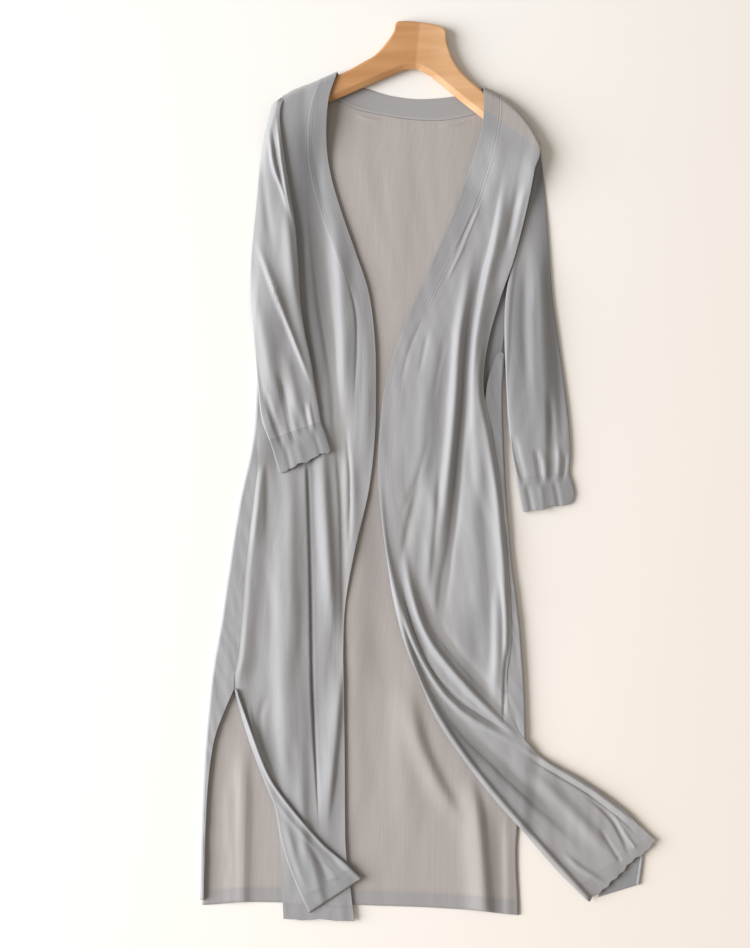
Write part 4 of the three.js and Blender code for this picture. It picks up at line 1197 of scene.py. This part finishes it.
def make_neck_band():
    last = len(NECK_BAND["edge_x"]) - 1
    ends = np.linspace(0, 1, 14)
    rows = np.concatenate([ends, np.linspace(1, last - 1, 90)[1:-1], last - 1 + ends])
    t, across = grid_of(rows, np.linspace(0, 1, 25))
    edge = follow(NECK_BAND, "edge_x edge_y", t)
    seam = follow(NECK_BAND, "seam_x seam_y", t)
    along_neck = ease((t - 0.5) / 0.8) * ease((last - 0.5 - t) / 0.8)
    below = place(0, back_top(plan_x(seam[..., 0])) - 0.12)[..., 1]
    seam[..., 1] = mix(seam[..., 1], below, along_neck)
    point = edge + (seam - edge) * across[..., None]
    points = at_height(point, curl_up(*xy(point)))
    wall = CLOTH + 0.3 * bell(across - 0.9, 0.05)
    tone = BAND_TONE["neck"] * (1 - 1.6 * bell(across - 0.93, 0.06))
    part = (points, wall, {}, tone, NECK_WARMTH)
    return wall_object("band_neck_cloth", [part], DOUBLE_KNIT, "band_neck")


def flat_tube(rows, downs, heights, under, folds, fuller):
    """A flattened tube on under(x, y), from a table of its two sides. Fuller makes its inner side higher."""
    t, k = grid_of(downs, np.arange(TUBE_COLUMNS) / TUBE_COLUMNS)
    inner = follow(rows, "inner_x inner_y", t)
    outer = follow(rows, "outer_x outer_y", t)
    width = np.hypot(*np.moveaxis(outer - inner, -1, 0))
    tall = np.minimum(np.interp(t, heights["row"], heights["tall"]), width * 0.75)
    sine, cosine = np.sin(2 * math.pi * k), np.cos(2 * math.pi * k)
    over = np.sign(sine) * np.abs(sine) ** 0.55
    reach = np.sign(cosine) * np.abs(cosine) ** 0.8
    at = inner + (outer - inner) * ((1 + reach) / 2)[..., None]
    x, y = xy(at)
    creases = drape(x, y, SLEEVE_SEED, 0.8, across=22, along=120)
    raised = (fold_height(folds, x, y) + creases) * np.maximum(over, 0)
    raised = never_below(raised, SLEEVE_LIFT) * (over > 0) * ease(over / 0.5) * ease((t + 0.3) / 4.5)
    z = under(x, y) + tall / 2 * (1 + over) * (1 - fuller * reach) + raised
    return np.stack([x, y, z], -1)


def under_right_sleeve(x, y):
    """The right sleeve lies on the right front and hangs over the turned side."""
    outline = look_up(BACK_OUTLINE, "y", plan_y(y), "left")
    inside = ease((plan_x(x) - outline + SLEEVE_OVERHANG) / 14)
    above = mix(ON_BACK, ON_HANGER, on_arms(x, y)) + SOLID_CLOTH + LAYER_GAP + SLEEVE_CLEARANCE
    rise = SIDE_RISE * ease((plan_y(y) - SLEEVE_RAISED_FROM) / 40)
    rise *= 1 - ease((plan_x(x) - outline - 8) / 24)
    turn = np.clip(1 - distance_to(SHOULDER_LINES, x, y) / (2 * SHOULDER_RADIUS), 0, 1)
    resting = SHOULDER_Z + (above + rise - SHOULDER_Z) * np.sqrt(1 - turn * turn)
    return mix(OVERHANG_Z, resting, inside)


def under_left_sleeve(x, y):
    """The left sleeve lies on the floor, its inner side a little over the edge of the back."""
    outline = look_up(BACK_OUTLINE, "y", plan_y(y), "right")
    cap = LEFT_CAP_RISE * (1 - ease((plan_y(y) - LEFT_CAP_TOP) / 60))
    return ON_BACK * ease((outline + 6 - plan_x(x)) / 5) + cap


def make_sleeve(side, sleeve_rows, cuff_rows, heights, under, folds, fuller):
    """A sleeve and its cuff, worked out as one tube and parted at the seam."""
    rows = {name: np.concatenate([sleeve_rows[name], cuff_rows[name]]) for name in sleeve_rows}
    seam, last = len(sleeve_rows["inner_x"]) - 1, len(rows["inner_x"]) - 1
    sleeve_downs = [*np.linspace(0, seam - 0.04, SLEEVE_ROWS - 2), seam - 0.012, seam - CUFF_SEAM]
    cuff_downs = [seam, seam + 0.012, *np.linspace(seam + 0.04, last, CUFF_ROWS - 2)]
    downs = np.array(sleeve_downs + cuff_downs)
    tube = flat_tube(rows, downs, heights, under, folds, fuller)
    points = wavy_end(tube, reach=40, depth=1.2, length=30, seed=5, ripple=0.4)
    normals = normals_of(points, ring=True)

    def piece(name, rows, tone, material):
        settings = dict(ring=True, normals=normals[rows])
        # Painted shade where the sleeve lies in shade, added to the piece's own tone
        shade = tone + fold_height(SLEEVE_PAINTED_SHADES[side], *xy(points[rows]))
        part = (points[rows], CLOTH, settings, shade, 0.0)
        return wall_object(f"{name}_{side}_cloth", [part], material, f"{name}_{side}")

    sleeve = piece("sleeve", np.s_[:SLEEVE_ROWS], 0.0, KNIT)
    cuff = piece("cuff", np.s_[SLEEVE_ROWS:], CUFF_TONE[side], DOUBLE_KNIT)
    return sleeve, cuff


# The hanger


def edge_round(distance, radius):
    """How much lower a surface is, this far in from an edge rounded to a radius."""
    turn = np.clip(1 - distance / radius, 0, 1)
    return radius * (1 - np.sqrt(1 - turn**2))


def make_hanger():
    """A flat board on rungs from the upper edge to the lower, which has a chamfer along it."""
    t, _ = grid_of(np.linspace(0, len(HANGER["top_x"]) - 1, HANGER_RUNGS), np.arange(1))
    top, low = follow(HANGER, "top_x top_y", t), follow(HANGER, "low_x low_y", t)
    length = np.hypot(*np.moveaxis(low - top, -1, 0))
    scale = np.minimum(1, length / FULL_RUNG)
    from_top = np.array([0, 0.06, 0.3, 0.62, 1, 1.4])[None, :] * HANGER_BEVEL * scale
    chamfer = np.array([1.1, 1.03, 0.98, 0.75, 0.5, 0.3, 0.12, 0.04, 0])[None, :] * CHAMFER_WIDTH * scale
    between = mix(from_top[:, -1:], length - chamfer[:, :1], np.linspace(0, 1, 9)[None, 1:-1])
    down = np.concatenate([from_top, between, length - chamfer], axis=1)
    point = top + (low - top) * (down / length)[..., None]
    from_low = (length - down) / scale
    drop = edge_round(down / scale, HANGER_BEVEL) + edge_round(from_low, LOW_EDGE_RADIUS)
    drop += CHAMFER_DROP * np.clip(1 - from_low / CHAMFER_WIDTH, 0, 1)
    wall = HANGER_THICKNESS - 2 * np.minimum(drop, HANGER_THICKNESS / 2 - 0.1)
    points = np.concatenate([point, np.full(point.shape[:-1] + (1,), SHOULDER_Z)], -1)
    upright = np.zeros_like(points) + (0, 0, 1)
    # Painted light: past the neck's facet line the wood is made lighter, as if that facet and the right arm
    # caught more light, and lighter still towards the right
    line = np.interp(plan_y(point[..., 1]), NECK_FACET["y"], NECK_FACET["x"])
    lit_right_side = ease((plan_x(point[..., 0]) - line + 1.5) / 3)
    warmth = lit_right_side * (0.6 + 0.4 * ease((plan_x(point[..., 0]) - 425) / 25))
    part = (points, wall, dict(behind=0.5, normals=upright), 0.0, warmth)
    hanger = wall_object("hanger_wood", [part], BEECH, "hanger")
    return hanger


back = make_back()
front_right, band_right = make_front("right")
front_left, band_left = make_front("left")
band_neck = make_neck_band()
sleeve_right, cuff_right = make_sleeve(
    "right", RIGHT_SLEEVE, RIGHT_CUFF, RIGHT_SLEEVE_HEIGHTS, under_right_sleeve, RIGHT_SLEEVE_FOLDS, 0.3
)
sleeve_left, cuff_left = make_sleeve(
    "left", LEFT_SLEEVE, LEFT_CUFF, LEFT_SLEEVE_HEIGHTS, under_left_sleeve, LEFT_SLEEVE_FOLDS, 0.5
)
hanger = make_hanger()

# The stage, light and camera


def make_floor():
    mesh = bpy.data.meshes.new("floor")
    half = 4.0
    drop = -0.0003
    corners = [(-half, -half, drop), (half, -half, drop), (half, half, drop), (-half, half, drop)]
    mesh.from_pydata(corners, [], [(0, 1, 2, 3)])
    mesh.materials.append(floor_material())
    floor = bpy.data.objects.new("floor", mesh)
    bpy.context.scene.collection.objects.link(floor)
    return floor


def make_light(name, place_m, size, energy, colour):
    light = bpy.data.lights.new(name, "AREA")
    light.shape = "DISK"
    light.size = size
    light.energy = energy
    light.color = colour
    lamp = bpy.data.objects.new(name, light)
    lamp.location = place_m
    towards = -np.array(place_m)
    lamp.rotation_euler = Vector(towards).to_track_quat("-Z", "Y").to_euler()
    bpy.context.scene.collection.objects.link(lamp)
    return lamp


def make_camera():
    camera = bpy.data.cameras.new("camera")
    camera.sensor_fit = "VERTICAL"
    camera.angle_y = 2 * math.atan(PICTURE[1] / 2 * PLAN_UNIT / EYE_HEIGHT)
    camera.dof.use_dof = False
    seen_from = bpy.data.objects.new("camera", camera)
    x, y = place(*EYE) * MM
    seen_from.location = (x, y, EYE_HEIGHT * MM)
    bpy.context.scene.collection.objects.link(seen_from)
    bpy.context.scene.camera = seen_from


def make_world():
    world = bpy.data.worlds.new("studio")
    world.use_nodes = True
    background = world.node_tree.nodes["Background"]
    background.inputs["Color"].default_value = WORLD_COLOUR
    background.inputs["Strength"].default_value = WORLD_STRENGTH
    bpy.context.scene.world = world


make_floor()
make_world()
make_light("key", **KEY_LIGHT)
make_camera()
bpy.context.scene.view_settings.view_transform = "Standard"
